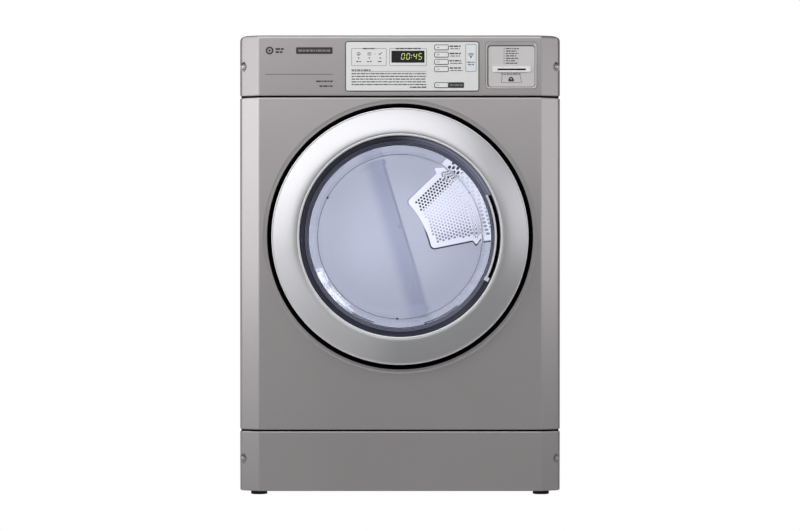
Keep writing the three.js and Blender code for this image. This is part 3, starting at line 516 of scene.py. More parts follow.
def cover(name, node, look, holes=(), low=3.0, high=3.0, edge_high=2.4, rim=()):
    """A cover: rows of points, and a flat face with holes, one of which can lead into a turned rim."""
    z0, z1 = cad(node)[4:]
    bm = bmesh.new()
    rows = cover_rows(z0, z1, low, high, 2.4, edge_high)
    tall = max(range(len(rows) - 1), key=lambda i: rows[i + 1][0] - rows[i][0])
    rows = add_skin(bm, [level(plan(limit, inset, BACK), z) for z, limit, inset in rows], closed=False)
    if holes:
        # The quad in the middle of the flat face gives way to one with the holes.
        k = len(rows[0]) // 2 - 1
        corners = [rows[tall][k], rows[tall][k + 1], rows[tall + 1][k + 1], rows[tall + 1][k]]
        bm.faces.remove(bm.faces.get(corners))
        edges = [bm.edges.get(pair) for pair in zip(corners, corners[1:] + corners[:1])]
        for outline in holes:
            edges += loop_at(bm, outline, FACE)[1]
        bmesh.ops.triangle_fill(bm, use_beauty=True, edges=edges)
    add_skin(bm, [[(x, y, z) for x, z in circle(*DOOR, radius, 192)] for radius, y in rim])
    made = piece(name, bm, look, node)
    face_along(made, FORWARD)
    thicken(made, 1.0)
    return made


def pocket_outline(side, z, grow):
    """An almond round a cover screw, open towards the side of the cabinet."""
    steps = [k / 10 - 1 for k in range(21)]
    inner = [(SCREW_X - 2 - (5.3 + grow) * (1 - t * t), z + (11 + grow) * t) for t in steps]
    outer = [(SCREW_X - 2 + 12 * (1 - t * t), z + (11 + grow) * t) for t in reversed(steps[1:-1])]
    return [(side * x, h) for x, h in inner + outer]


def cut_pockets(made, node, screw):
    """Cuts the two screw pockets out of a cover, and lines them with cups."""
    z = middle(screw)[2]
    for side, word in ((-1, "left"), (1, "right")):
        hole = pocket_outline(side, z, 0)
        carve_plate(made, hole, FACE - 5, POCKET_FLOOR + 0.5)
        cup = plate(f"{made.name}_screw_cup_{word}", made.data.materials[0],
                    pocket_outline(side, z, 0.8), FACE, POCKET_FLOOR + 0.9)
        carve_plate(cup, hole, FACE - 2, POCKET_FLOOR)
        envelope = bmesh.new()
        add_skin(envelope, [level(plan(HALF, 0.06, BACK), h) for h in cad(node)[4:]], capped=True)
        carve(cup, envelope, "INTERSECT")


def front_cover():
    # A shallow dished ring round the door, a rolled lip, the recess wall and its floor.
    rim = [(293.6, FACE), (292.6, FACE + 0.15), (291, FACE + 0.6), (289.4, FACE + 1.1), (287, FACE + 1.3),
           (284.4, FACE + 1.4), (282.8, FACE + 2), (281.8, FACE + 3.2), (OPENING_R, FACE + 5),
           (OPENING_R, RECESS - 3), (OPENING_R - 0.9, RECESS - 0.9), (OPENING_R - 3, RECESS), (262, RECESS),
           (211, RECESS), (209.6, RECESS + 0.6), (209.2, RECESS + 3)]
    made = cover("front_cover", "front_panel", paint, [circle(*DOOR, rim[0][0], 192)], rim=rim)
    # The recess wall and the outer part of its floor are near-black, as painted shade in the gap round the
    # door.
    made.data.materials.append(gap_shade_black)
    for face in made.data.polygons:
        x, y, z = face.center / MM
        if y > FACE + 1.6 and 262 < math.hypot(x - DOOR_X, z - DOOR_Z) < OPENING_R + 2.4:
            face.material_index = 1
    x, _, z = middle("door_latch")
    carve_plate(made, rectangle(x - 10.5, x + 9.5, z - 15, z + 15, 3), RECESS - 4, RECESS + 4)
    shade_flats(made)


def kick_cover():
    made = cover("kick_cover", "kick_panel", paint, low=4)
    cut_pockets(made, "kick_panel", "kick_screw_left")
    shade_flats(made)


def control_cover():
    holes = [grown(node, gap, 7 + gap) for node, gap in (("control_fascia", 0.4), ("card_reader_panel", 0.9))]
    made = cover("control_cover", "control_panel", control_paint, holes, high=12, edge_high=6)
    # A near-black sheet behind the card reader's gap, as painted shade.
    plate("card_reader_gap_shade", gap_shade_black, rectangle(176, 299.5, 862, 975, 3), -337.6, -336.8)
    # The cover's top, back to the cabinet's top panel.
    bm = bmesh.new()
    line = plan(HALF - 12, 12.5, cad("top_panel")[2] - 0.4)
    top = cad("control_panel")[5]
    add_skin(bm, [level(line, top - 0.9), level(line, top - 0.04)], capped=True)
    piece("control_cover_top", bm, control_paint)
    cut_pockets(made, "control_panel", "control_screw_left")
    shade_flats(made)


def cover_screws():
    """Dome-headed screws with a crossed recess."""
    for node in ("control_screw_left", "control_screw_right", "kick_screw_left", "kick_screw_right"):
        x, _, z = middle(node)
        front = cad(node)[2]
        turns = [k * math.pi / 16 for k in range(1, 9)]
        head = [(0, front)] + [(4.35 * math.sin(a), front + 2.4 * (1 - math.cos(a))) for a in turns]
        seat = POCKET_FLOOR - 0.3
        shank = [(4.35, seat), (2, seat), (2, seat + 10.3), (0, seat + 12.3)]
        made = lathe(node + "_head", bright_screw, head + shank, x, z, 40, node=node)
        for across, along in ((2.3, 0.45), (0.45, 2.3)):
            carve_box(made, x - across, x + across, front - 2, front + 1.6, z - along, z + along)


front_cover()
kick_cover()
control_cover()
cover_screws()

# ---------------------------------------------------------------- controls

FASCIA = cad("control_fascia")
FASCIA_FRONT = FASCIA[2]
BUTTONS = ("button_high", "button_medium", "button_low", "button_no_heat", "button_start")
STATUS_X = (-88.3, -65.5, -42.2)


def prints(name, look, y, shapes, depth=0.12):
    """Flat printed shapes on a surface that faces the front at y."""
    bm = bmesh.new()
    for shape in shapes:
        outer, holes = shape if isinstance(shape, tuple) else (shape, ())
        add_plate(bm, outer, y - depth, y + 0.05, holes)
    piece(name, bm, look, flat=True, weld=False)


def framed(x0, x1, z0, z1, radius, width):
    """A thin outline: a rounded rectangle with its middle taken out."""
    inner = rectangle(x0 + width, x1 - width, z0 + width, z1 - width, max(radius - width, 0.3))
    return rectangle(x0, x1, z0, z1, radius), (inner,)


def words(x0, x1, z, height, seed=1, right=False):
    """A line of short bars that stands for small print."""
    shapes = []
    x = x0
    step = seed
    while x < x1 - 1:
        step = (step * 37 + 11) % 97
        width = min(2.6 + (step % 7) * 1.25, x1 - x)
        a, b = (x0 + x1 - x - width, x0 + x1 - x) if right else (x, x + width)
        shapes.append(rectangle(a, b, z - height / 2, z + height / 2))
        x += width + 1.5
    return shapes


def control_fascia():
    y0, y1 = FASCIA[2:4]
    holes = [grown(node, 0.5, 3.5) for node in BUTTONS] + [grown("display_window", 0.4, 1.5)]
    plate("control_fascia_plate", white, grown("control_fascia", 0, 6, 8), y0, y1, holes,
          node="control_fascia", bevel=0.35, steps=2)
    plate("display_glass_pane", display, grown("display_window", 0, 1.5), y0 - 0.2, y1 - 0.4,
          node="display_window", bevel=0.3)
    plate("fascia_light_shield", black, grown("control_fascia", -5, 3), -336, -335)


def status_symbols():
    """A filling drum, moving air and a finished tick, each over its word."""
    z = 943
    drum_x, air_x, done_x = STATUS_X
    shapes = [(circle(drum_x, z, 3.8, 20), (circle(drum_x, z, 2.7, 20),))]
    shapes.append(band(drum_x, z, 0.2, 1.9, 190, 350, 8))
    shapes += [rectangle(air_x - 4, air_x + 4, z + h - 0.5, z + h + 0.5) for h in (-2.4, 0, 2.4)]
    tick = [(-3.8, 0), (-2.6, 1), (-1.2, -0.6), (2.8, 3.6), (3.8, 2.6), (-1.2, -2.8)]
    shapes.append([(done_x + a, z + b) for a, b in tick])
    for x in STATUS_X:
        shapes += words(x - 5, x + 5, 926.6, 2.0, int(x) % 13 + 2)
    shapes.append(circle(-53.5, z, 0.9, 10))
    return shapes


def fascia_prints():
    x0, x1, y, _, z0, z1 = FASCIA
    # The dark band round the fascia's edge is painted shade for the gap round it; the rest is print.
    dark = [framed(x0 + 0.2, x1 - 0.2, z0 + 0.2, z1 - 0.2, 5.8, 1.9)]
    dark += words(-79, -53.5, 954.4, 2.6, 3) + words(-9, 44, 954.4, 2.6, 6) + status_symbols()
    dark += words(-103.4, -63, 908.3, 2.6, 5)
    for row in range(5):
        dark += words(-103.4, 56, 900.7 - 5.8 * row, 2.1, 7 + row)
    dark += words(21, 56, 871.7, 2.6, 4, right=True)
    for row, node in enumerate(BUTTONS[:4]):
        z = middle(node)[2]
        dark += words(106, 130, z + 2.6, 2.8, 6 + row)
        dark += words(107.5, 128 + 2 * row, z - 2.8, 1.7, 9 + row)
    dark.append(rectangle(103, 136.7, 870.2, 882.3, 1.5))
    for node in BUTTONS:
        a0, a1, _, _, b0, b1 = cad(node)
        dark.append(framed(a0 - 1.5, a1 + 1.5, b0 - 1.5, b1 + 1.5, 3.6, 1.0))
    prints("fascia_print_and_edge_shade", ink, y, dark)
    grey = [framed(-103.8, -28.8, 917.3, 954.8, 2, 0.8), framed(-22.6, 57, 917.3, 954.8, 2, 0.8)]
    grey.append(rectangle(-103.4, 56, 905, 905.8))
    prints("fascia_print_grey", ink_grey, y, grey)
    prints("start_label_print", ink_pale, y - 0.1, words(107, 133, 876.3, 3.4, 8))
    prints("status_lamps", ink, y, [circle(x, 934.3, 1.5, 16) for x in STATUS_X])
    prints("wireless_panel", pale_blue, y, [rectangle(140.8, 162.2, 905.8, 963.2, 2.5)])
    wave = [framed(139.9, 163, 904.9, 964, 3, 0.9)]
    wave += [band(151.5, 934, radius - 0.8, radius + 0.8, 50, 130, 10) for radius in (4, 7, 10)]
    wave.append(circle(151.5, 935.5, 1.7, 16))
    wave += words(143.5, 160, 925, 2.4, 3) + words(145, 158.5, 920.2, 2.4, 6)
    prints("wireless_symbol", ink_grey, y - 0.1, wave)


def cover_prints():
    """A plain ring mark, a label plate and small print at the left of the control panel."""
    x, z = -278.5, 950.2
    badge = [(circle(x, z, 8.4, 36), (circle(x, z, 4.8, 28),)), circle(x, z, 2.6, 20)]
    badge += words(-266, -248.2, 953.4, 4.0, 4) + words(-266, -251, 946.8, 4.0, 9)
    badge.append(rectangle(-287.6, -144, 898.9, 899.9))
    badge += words(-180, -144, 884.5, 3.2, 5, right=True) + words(-172, -144, 874.2, 3.2, 8, right=True)
    prints("cover_print_dark", ink, FACE, badge)
    prints("label_plate", ink, FACE, [rectangle(-222, -144, 942.9, 957.2, 2)], depth=0.4)
    prints("label_plate_print", ink_pale, FACE - 0.4, words(-217, -149, 950, 4.0, 12))


# The strokes of a seven-segment digit, as (x, z, upright) in units of half its width and quarter height.
STROKES = {
    "a": (0, 4, False), "b": (1, 2, True), "c": (1, -2, True), "d": (0, -4, False),
    "e": (-1, -2, True), "f": (-1, 2, True), "g": (0, 0, False),
}
DIGITS = {"0": "abcdef", "4": "bcfg", "5": "acdfg"}


def display_digits():
    """The time on the display, in slanted digits."""
    left, centre, half, thin, slant = 6.5, 937.5, 3.1, 0.6, 0.14
    shapes = []
    for x, shown in ((0, "0"), (11, "0"), (25.6, "4"), (36.6, "5")):
        for stroke in DIGITS[shown]:
            across, rise, upright = STROKES[stroke]
            cx, cz = left + x + across * half, rise * half / 2
            long = half - 0.5
            corners = [(-long, 0), (thin - long, thin), (long - thin, thin), (long, 0), (long - thin, -thin),
                       (thin - long, -thin)]
            if upright:
                corners = [(b, a) for a, b in corners]
            shapes.append([(cx + a + (cz + b) * slant, centre + cz + b) for a, b in corners])
    shapes += [circle(24.8 + h * slant, centre + h, 0.8, 12) for h in (-2.4, 2.4)]
    prints("display_digits", digit, FASCIA_FRONT - 0.2, shapes)


def buttons():
    for node in BUTTONS:
        x0, _, y0, y1, _, _ = cad(node)
        z = middle(node)[2]
        body = node + "_body"
        plate(node + "_cap", button_white, grown(node, 0, 3), y0, y1, node=node, body=body, bevel=0.7)
        mark = rectangle(x0 + 4.5, x0 + 9.5, z - 0.7, z + 0.7, 0.6)
        plate(node + "_mark", ink_grey, mark, y0 - 0.1, y0 + 0.05, body=body, flat=True)


def card_reader():
    x0, x1, y0, y1, z0, z1 = cad("card_reader_panel")
    floor = -341.0
    # Each loop as how far it is in from the left, right, bottom and top, its corners' radius, and its y.
    # The first is the back's edge, and the last bounds the recessed floor.
    loops = [
        (0, 0, 0, 0, 7, y1), (0, 0, 0, 0, 7, y0 + 0.5), (0.6, 0.6, 0.6, 0.6, 6.4, y0),
        (1.4, 1.4, 1.4, 1.4, 5.6, y0 + 0.3),
        (3.6, 3.2, 3.2, 6.6, 6.4, floor - 0.5), (3.8, 3.4, 3.4, 6.8, 6.2, floor + 1.2),
        (5.2, 4.0, 4.0, 8.2, 5.6, floor + 1.2), (5.4, 4.2, 4.2, 8.4, 5.4, floor),
    ]
    bm = bmesh.new()
    rings = add_skin(bm, [
        [(x, y, z) for x, z in rectangle(x0 + left, x1 - right, z0 + low, z1 - high, radius, 8)]
        for left, right, low, high, radius, y in loops])
    edges = [bm.edges.get((rings[-1][i - 1], rings[-1][i])) for i in range(len(rings[-1]))]
    edges += loop_at(bm, rectangle(208, 269.5, 908.2, 912, 0.8), floor)[1]
    bmesh.ops.triangle_fill(bm, use_beauty=True, edges=edges)
    bm.faces.new(rings[0])
    made = piece("card_reader_plate", bm, card_grey, "card_reader_panel")
    # The groove's faces are near-black, as painted shade inside it.
    made.data.materials.append(gap_shade_black)
    for face in made.data.polygons:
        if floor + 0.1 < face.center.y / MM < floor + 1.3:
            face.material_index = 1
    shade_flats(made)
    slot = rectangle(208.5, 269, 908.3, 911.9, 0.6)
    plate("card_slot_frame", button_white, grown("card_slot_bezel", 0, 1.2), floor - 2.4, floor - 0.3, [slot],
          node="card_slot_bezel", bevel=0.5)
    plate("card_slot_shade", gap_shade_black, rectangle(205, 272, 906, 914, 1), floor + 0.4, floor + 1.4)
    dark = []
    for row in range(7):
        z = 954.6 - row * 5.2
        dark.append(rectangle(221.7, 223.2, z - 1.1, z + 1.1))
        dark += words(226.2, 254.2 - (row * 5) % 9, z, 2.1, 3 + row)
    dark += words(216, 259, 900.6, 1.6, 5)
    dark += [band(237.5, 889, 2.2, 5.2, 0, 180, 10), rectangle(231.5, 243.5, 884.6, 889)]
    prints("card_reader_print", ink, floor, dark)
    outer = [(216, 881.7), (260.6, 881.7), (257, 899), (218, 899)]
    inner = [(217.2, 882.6), (259.4, 882.6), (256.1, 898.2), (218.9, 898.2)]
    prints("card_symbol_outline", ink_grey, floor, [(outer, (inner,))])


control_fascia()
fascia_prints()
cover_prints()
display_digits()
buttons()
card_reader()

# ---------------------------------------------------------------- door

HINGE_REACH = (DOOR_Z - 52, DOOR_Z + 52)


def door_ring():
    front = cad("door_ring")[2]
    outside = [(RING_R, -322.0), (RING_R, -357.0)]
    outside += rounded([(RING_R, -357), (RING_R, -362.5), (266, -366.6)], 4.2, 6, closed=False)[1:-1]
    outside += [(258, -370.4), (248, -374.9), (238, -379.0), (230, -381.8), (225.5, front + 0.7),
                (222.4, front + 0.3), (219.4, front + 0.2), (218.8, front + 0.5), (218.6, front + 1.2)]
    inside = [(218.6, front + 9), (219.8, front + 6), (222.6, front + 2.8), (229, -379.2), (248, -372.2),
              (264, -364.4), (RING_R - 2.5, -358), (RING_R - 2.5, -322)]
    made = lathe("door_ring_shell", silver, outside + inside, *DOOR, 256,
                 node="door_ring", body="door", angle=50)
    carve_box(made, -RING_R - 6, -238, -357.5, -316, *HINGE_REACH)
    trim = [(218.7, front + 1.2), (218.0, front + 0.6), (215.2, front + 0.8), (214.3, front + 1.9),
            (214, front + 11), (218.7, front + 11)]
    # The edge ring is white, as a painted highlight along the ring's outer edge; the inner ring is a bright
    # trim.
    edge = [(RING_R - 2.2, -364.6), (RING_R - 1.9, -365.0), (RING_R - 0.8, -364.6), (RING_R - 0.2, -363.8),
            (RING_R - 0.2, -361.2), (RING_R - 2.2, -361.2)]
    bm = bmesh.new()
    add_lathe(bm, trim, *DOOR, 256)
    add_lathe(bm, edge, *DOOR, 256)
    piece("door_ring_bright_line", bm, bright_lip, body="door", angle=50)


def door_frame():
    # A smooth dark cone, then fine steps down to the glass.
    profile = [(214.2, -371), (212.8, -372.6), (211.4, -372.4), (203.8, -364.6), (203.5, -362.6)]
    for k in range(3):
        r, y = 202.9 - k * 2.4, -361.8 + k * 3.2
        profile += [(r, y), (r - 1.7, y + 0.6), (r - 2.0, y + 2.6)]
    profile += [(195.8, -352.2), (195.4, -350.4), (195.4, -346.1), (204.2, -346.1), (204.2, -326),
                (222, -326), (222, -349), (262, -349), (262, -352), (219, -352)]
    made = lathe("door_inner_frame", dark_frame, profile, *DOOR, 224,
                 node="door_frame", body="door", angle=28)
    carve_plate(made, band(*DOOR, 206, 212.2, -24.4, 24.6, 40), -380, -357)
    carve_box(made, -RING_R, -226, -352.6, -345, *HINGE_REACH)
    # The grip's cut has a near-black floor, as painted shade in it.
    grip = band(*DOOR, 205.4, 212.4, -24.6, 24.8, 40)
    plate("door_grip_floor", gap_shade_black, grip, -357.4, -356.6, body="door")
    bm = bmesh.new()
    add_plate(bm, band(*DOOR, 201.6, 205.8, -25.6, 25.6, 48), -373.6, -360)
    add_plate(bm, band(*DOOR, 200.4, 210.4, -27.4, -25.0, 6), -373, -360)
    piece("door_grip_lip", bm, bright_lip, body="door", bevel=0.5, weld=False)
    # Painted highlight lines on the steps, and near-black rings between them as painted shadow lines.
    for k in range(3):
        r, y = 202.6 - k * 2.4, -362.2 + k * 3.2
        line = [(r, y), (r - 0.7, y - 0.3), (r - 1.4, y + 0.4), (r - 0.7, y + 1.4)]
        lathe(f"door_frame_line_{k + 1}", frame_line, line, *DOOR, 224, body="door")
    # Near-black rings at the feet of the steps, as painted shadow lines.
    bm = bmesh.new()
    for r, y in ((213.0, -372.7), (206.2, -367.2), (200.8, -358.8), (198.4, -355.6), (196.1, -352.6)):
        add_lathe(bm, [(r + 0.5, y), (r, y - 0.5), (r - 0.5, y), (r, y + 0.5)], *DOOR, 224)
    made = piece("door_frame_grooves", bm, black, body="door")
    carve_plate(made, band(*DOOR, 205.4, 209, -24.4, 24.6, 40), -380, -357)


def door_glass():
    front = [(204.0, -345.7), (195.0, -345.7), (176, -316), (0, -316)]
    front = rounded(front, [0, 2.5, 2.2, 0], 8, closed=False)
    # A shallow moulded step round the back of the floor bends what is seen through its rim.
    y = -309.4
    back = [(0, y)]
    for k in range(21):
        y -= math.tan(math.radians(7.5) * math.sin(math.pi * k / 20) ** 2)
        back.append((155.5 + k, y))
    back += [(178.5, -313.2), (181.5, -317.8), (196.6, -341.8), (204.0, -341.2)]
    lathe("door_glass_bowl", clear, front[::-1] + back[::-1], *DOOR, 256,
          node="door_glass", body="door", angle=60)
    # The moulded line round the bowl's floor, with its three marks.
    line_r = 176.7
    bm = bmesh.new()
    turns = [k * math.pi / 4 for k in range(8)]
    line = [(line_r + 0.5 * math.cos(a), -316.9 + 0.3 * math.sin(a)) for a in turns]
    add_lathe(bm, line, *DOOR, 192)
    for x, z in ((-158, 638), (145, 645), (-6, 377)):
        out = Vector((x - DOOR_X, z - DOOR_Z)).normalized() * line_r
        add_plate(bm, circle(DOOR_X + out.x, DOOR_Z + out.y, 2.6, 14), -317.6, -316.6)
    piece("door_glass_line", bm, dark_frame, body="door")


def door_back():
    """The gasket behind the door, and the strike's plate."""
    corners = [(206, -325.7), (221, -325.7), (221, -321.5), (217.5, -318.6), (211, -318.6), (206, -322)]
    lathe("door_gasket_ring", rubber, rounded(corners, 1.4, 4), *DOOR, 192, node="door_gasket", body="door")
    x, _, z = middle("door_strike")
    outline = rectangle(x - 13, x + 13, z - 14, z + 14, 3)
    plate("door_strike_plate", zinc, outline, -348.9, -346.4, body="door", bevel=0.4)


door_ring()
door_frame()
door_glass()
door_back()

# ---------------------------------------------------------------- inside the door

# The air inlet is a piece of a ring about this corner, between two radii and two angles in degrees.
INLET_X, INLET_Z = -150.0, 483.0
INLET_IN, INLET_OUT = 233.0, 430.0
INLET_LOW, INLET_HIGH = 11.5, 44.0


def from_inlet(radius, degrees):
    a = math.radians(degrees)
    return INLET_X + radius * math.cos(a), INLET_Z + radius * math.sin(a)


def inlet_outline(grow, radius):
    points = []
    for r, order in ((INLET_OUT + grow, 1), (INLET_IN - grow, -1)):
        extra = math.degrees(grow / r)
        sweep = INLET_HIGH - INLET_LOW + 2 * extra
        arc = [from_inlet(r, INLET_LOW - extra + sweep * k / 12) for k in range(13)]
        points += arc[::order]
    return rounded(points, [radius if i in (0, 12, 13, 25) else 0 for i in range(26)], 8)


def inside(point, outline):
    x, z = point
    hit = False
    for (ax, az), (bx, bz) in zip(outline, outline[1:] + outline[:1]):
        if (az > z) != (bz > z) and x < (bx - ax) * (z - az) / (bz - az) + ax:
            hit = not hit
    return hit


def soft(value, low, high):
    t = min(max((value - low) / (high - low), 0), 1)
    return t * t * (3 - 2 * t)


# The middle of the rear wall's slanted band at its top and at its foot.
BAND_TOP, BAND_LOW = (-66.4, 739.7), (36.2, 387.0)


def band_depth(x, z):
    """How deep the slanted band is pressed into the rear wall."""
    t = (BAND_TOP[1] - z) / (BAND_TOP[1] - BAND_LOW[1])
    centre = BAND_TOP[0] + (BAND_LOW[0] - BAND_TOP[0]) * t
    across = (x - centre) / (26 + 5 * t)
    ends = soft(z, BAND_LOW[1] - 14, BAND_LOW[1] + 6) * (1 - soft(z, BAND_TOP[1] - 16, BAND_TOP[1] + 14))
    return 3.2 * soft(across, -1.15, 0.8) * (1 - soft(across, 0.9, 1.08)) * ends


def wall_look():
    """Bluish bright steel, with painted shade that darkens it along the pressed band."""
    nodes = Surface("rear_wall_steel", "galvanised")
    base = linear((176, 179, 192))
    place = nodes.add("SeparateXYZ", {"Vector": nodes.position()}).outputs
    top = BAND_TOP[1]
    slope = (BAND_LOW[0] - BAND_TOP[0]) / (top - BAND_LOW[1])
    drop = nodes.maths("SUBTRACT", top * MM, place["Z"])
    centre = nodes.maths("ADD", nodes.maths("MULTIPLY", drop, slope), BAND_TOP[0] * MM)
    across = nodes.maths("DIVIDE", nodes.maths("SUBTRACT", place["X"], centre), 28 * MM)
    rise = nodes.ramp(across, -1.3, 0.1, smooth=True)
    fall = nodes.ramp(across, 1.12, 0.86, smooth=True)
    end = nodes.ramp(place["Z"], (top + 14) * MM, (top - 16) * MM, smooth=True)
    shade = nodes.maths("MULTIPLY", nodes.maths("MULTIPLY", rise, fall), end)
    cloudy = nodes.mix(nodes.uneven(4, 2, 0, 1), scaled(base, 0.95), scaled(base, 1.04))
    tint = nodes.mix(nodes.maths("MULTIPLY", shade, 0.9), cloudy, linear((150, 155, 173)))
    nodes.look({"Base Color": tint, "Metallic": 0.25, "Roughness": nodes.uneven(6, 3, 0.42, 0.52)})
    nodes.relief(nodes.noise(30, 2, (1, 1, 18)), 0.06, 0.05)
    return nodes.material


def rear_wall():
    """The rear wall of the drum, with its slanted pressed band, in the sheet round it."""
    rings, count, radius = 84, 240, 311.5
    bm = bmesh.new()
    centre = bm.verts.new((0, REAR_WALL, DRUM_Z))
    first = add_skin(bm, [
        [(x, REAR_WALL + band_depth(x, z), z) for x, z in circle(*DRUM, radius * k / rings, count)]
        for k in range(1, rings + 1)])[0]
    for i in range(count):
        bm.faces.new((centre, first[i - 1], first[i]))
    made = piece("rear_wall_disc", bm, wall_look(), "rear_bulkhead", angle=60)
    face_along(made, FORWARD)
    thicken(made, 0.8)
    bm = bmesh.new()
    hole = circle(*DRUM, radius + 0.1, 160)
    add_plate(bm, grown("rear_bulkhead", 0, 6), REAR_WALL + 0.1, REAR_WALL + 1.1, [hole])
    add_lathe(bm, [(315.3, 284), (316.3, 284), (316.3, REAR_WALL), (315.3, REAR_WALL)], *DRUM, 160)
    piece("rear_bulkhead_sheet", bm, galvanised, weld=False)


def dome(bm, height):
    """Raises the middle of the grille into a shallow dome."""
    for vert in bm.verts:
        x, z = vert.co.x - INLET_X, vert.co.z - INLET_Z
        r, turn = math.hypot(x, z), math.degrees(math.atan2(z, x))
        radial = soft(r, INLET_IN + 2, INLET_IN + 40) * soft(-r, 2 - INLET_OUT, 40 - INLET_OUT)
        sweep = soft(turn, INLET_LOW + 0.5, INLET_LOW + 7) * soft(-turn, 0.5 - INLET_HIGH, 7 - INLET_HIGH)
        vert.co.y -= height * radial * sweep


def inlet_backing_painted_light():
    """What shows through the grille, with painted shade and light: dark at its upper edge, bright in the
    middle, grey lower down.
    """
    nodes = Surface("inlet_backing_painted_light", "galvanised")
    corner = nodes.vector("SUBTRACT", nodes.position(), (INLET_X * MM, 0, INLET_Z * MM))

    def distance(degrees, side):
        a = math.radians(degrees)
        return nodes.vector("DOT_PRODUCT", corner, (side * math.sin(a), 0, -side * math.cos(a)))

    upper = nodes.ramp(distance(INLET_HIGH, 1), 0.043, 0.045)
    lower = nodes.ramp(distance(INLET_LOW, -1), 0.0, 0.1, smooth=True)
    pale = nodes.mix(lower, linear((104, 107, 124)), linear((206, 209, 224)))
    tint = nodes.mix(upper, linear((6, 6, 8)), pale)
    nodes.look({"Base Color": tint, "Roughness": nodes.uneven(20, 3, 0.5, 0.6)})
    return nodes.material


def air_inlet():
    """The domed grille: a raised rim, round holes in slanted rows, and the duct's lining behind."""
    border = inlet_outline(-12.5, 5)
    pitch, radius = 8.2, 2.85
    lean = math.radians(INLET_HIGH)
    along, down = Vector((math.cos(lean), math.sin(lean))), Vector((math.sin(lean), -math.cos(lean)))
    start = Vector((INLET_X, INLET_Z)) + along * (INLET_IN + 40) + down * 16.5
    holes = []
    for row in range(-32, 2):
        for k in range(-12, 30):
            place = start + along * ((k + 0.5 * (row % 2)) * pitch) - down * (row * pitch * 0.866)
            if inside(place, border):
                holes.append(circle(*place, radius, 10))
    bm = bmesh.new()
    add_plate(bm, inlet_outline(0, 10), REAR_WALL - 2.2, REAR_WALL - 1.4, holes)
    dome(bm, 8)
    piece("air_inlet_grille_plate", bm, grille_steel, "air_inlet_grille", angle=40, weld=False)
    # The lining's pinholes are hidden, and give it the points that let it follow the dome.
    places = [from_inlet(r, turn) for r in range(260, 420, 14) for turn in range(15, 42, 3)]
    pinholes = [circle(*place, 0.5, 3) for place in places]
    bm = bmesh.new()
    add_plate(bm, inlet_outline(-8, 6), REAR_WALL - 1.0, REAR_WALL - 0.4, pinholes)
    dome(bm, 8)
    piece("air_inlet_lining", bm, inlet_backing_painted_light(), angle=60, weld=False)
    # A dark ring round the grille, as painted shadow at its edge.
    plate("air_inlet_shadow_ring", dark_frame, inlet_outline(3.8, 13), REAR_WALL - 0.7, REAR_WALL - 0.1,
          [inlet_outline(-3, 8)])


def drum():
    front, rear = cad("drum_shell")[2:4]
    skin = [(DRUM_R - 1, front)]
    for at in (front + 70, front + 150, rear - 150, rear - 70):
        for step, depth in ((-8, 1), (-4, 2.2), (0, 2.6), (4, 2.2), (8, 1)):
            skin.append((DRUM_R - depth, at + step))
    skin += [(DRUM_R - 1, rear), (DRUM_R, rear), (DRUM_R, front)]
    lathe("drum_skin", drum_steel, skin, *DRUM, 192, node="drum_shell", body="drum", angle=45)
    y0, y1 = -250.0, 270.0
    sections = [(y0, 0.02), (y0 + 4, 0.45), (y0 + 12, 0.8), (y0 + 28, 1), (y1 - 28, 1), (y1 - 12, 0.8),
                (y1 - 4, 0.45), (y1, 0.02)]
    angles = [-8 + 16 * k / 24 for k in range(25)]
    for k in range(3):
        def around(angle, radius, y):
            turn = math.radians(angle + 120 * k)
            return radius * math.sin(turn), y, DRUM_Z - radius * math.cos(turn)

        rows = []
        for y, share in sections:
            ridge = [around(a, 318.6 - 44.5 * (1 - soft(abs(a), 0.6, 7.4)) * share, y) for a in angles]
            rows.append(ridge + [around(a, 318.9, y) for a in reversed(angles)])
        node = f"baffle_{k + 1}"
        bm = bmesh.new()
        add_skin(bm, rows, capped=True)
        piece(node + "_ridge", bm, drum_steel, node, "drum", angle=50)


def mouth():
    """The front bulkhead with the collar that leads into the drum, and the felt seal."""
    bm = bmesh.new()
    add_plate(bm, grown("front_bulkhead", 0, 6), -290, -289, [circle(0, DOOR_Z, 205.4, 160)])
    add_lathe(bm, [(310.8, -289), (312, -289), (312, -262), (310.8, -262)], *DRUM, 160)
    piece("front_bulkhead_sheet", bm, galvanised, "front_bulkhead", weld=False)
    lip = [(205, -289.4), (205, -315.8), (206.3, -315.8), (206.3, -290.4), (212, -290.4), (212, -289.4)]
    made = lathe("mouth_collar", grille_steel, rounded(lip, 0.5, 3), 0, DOOR_Z, 192)
    carve_box(made, -97, 97, -309.5, -294.5, 330, 400)
    seal = [(312.8, -282), (318.9, -282), (318.9, -266), (312.8, -266)]
    lathe("drum_felt_seal", felt, rounded(seal, 1.5, 3), *DRUM, 160, node="drum_seal_front")


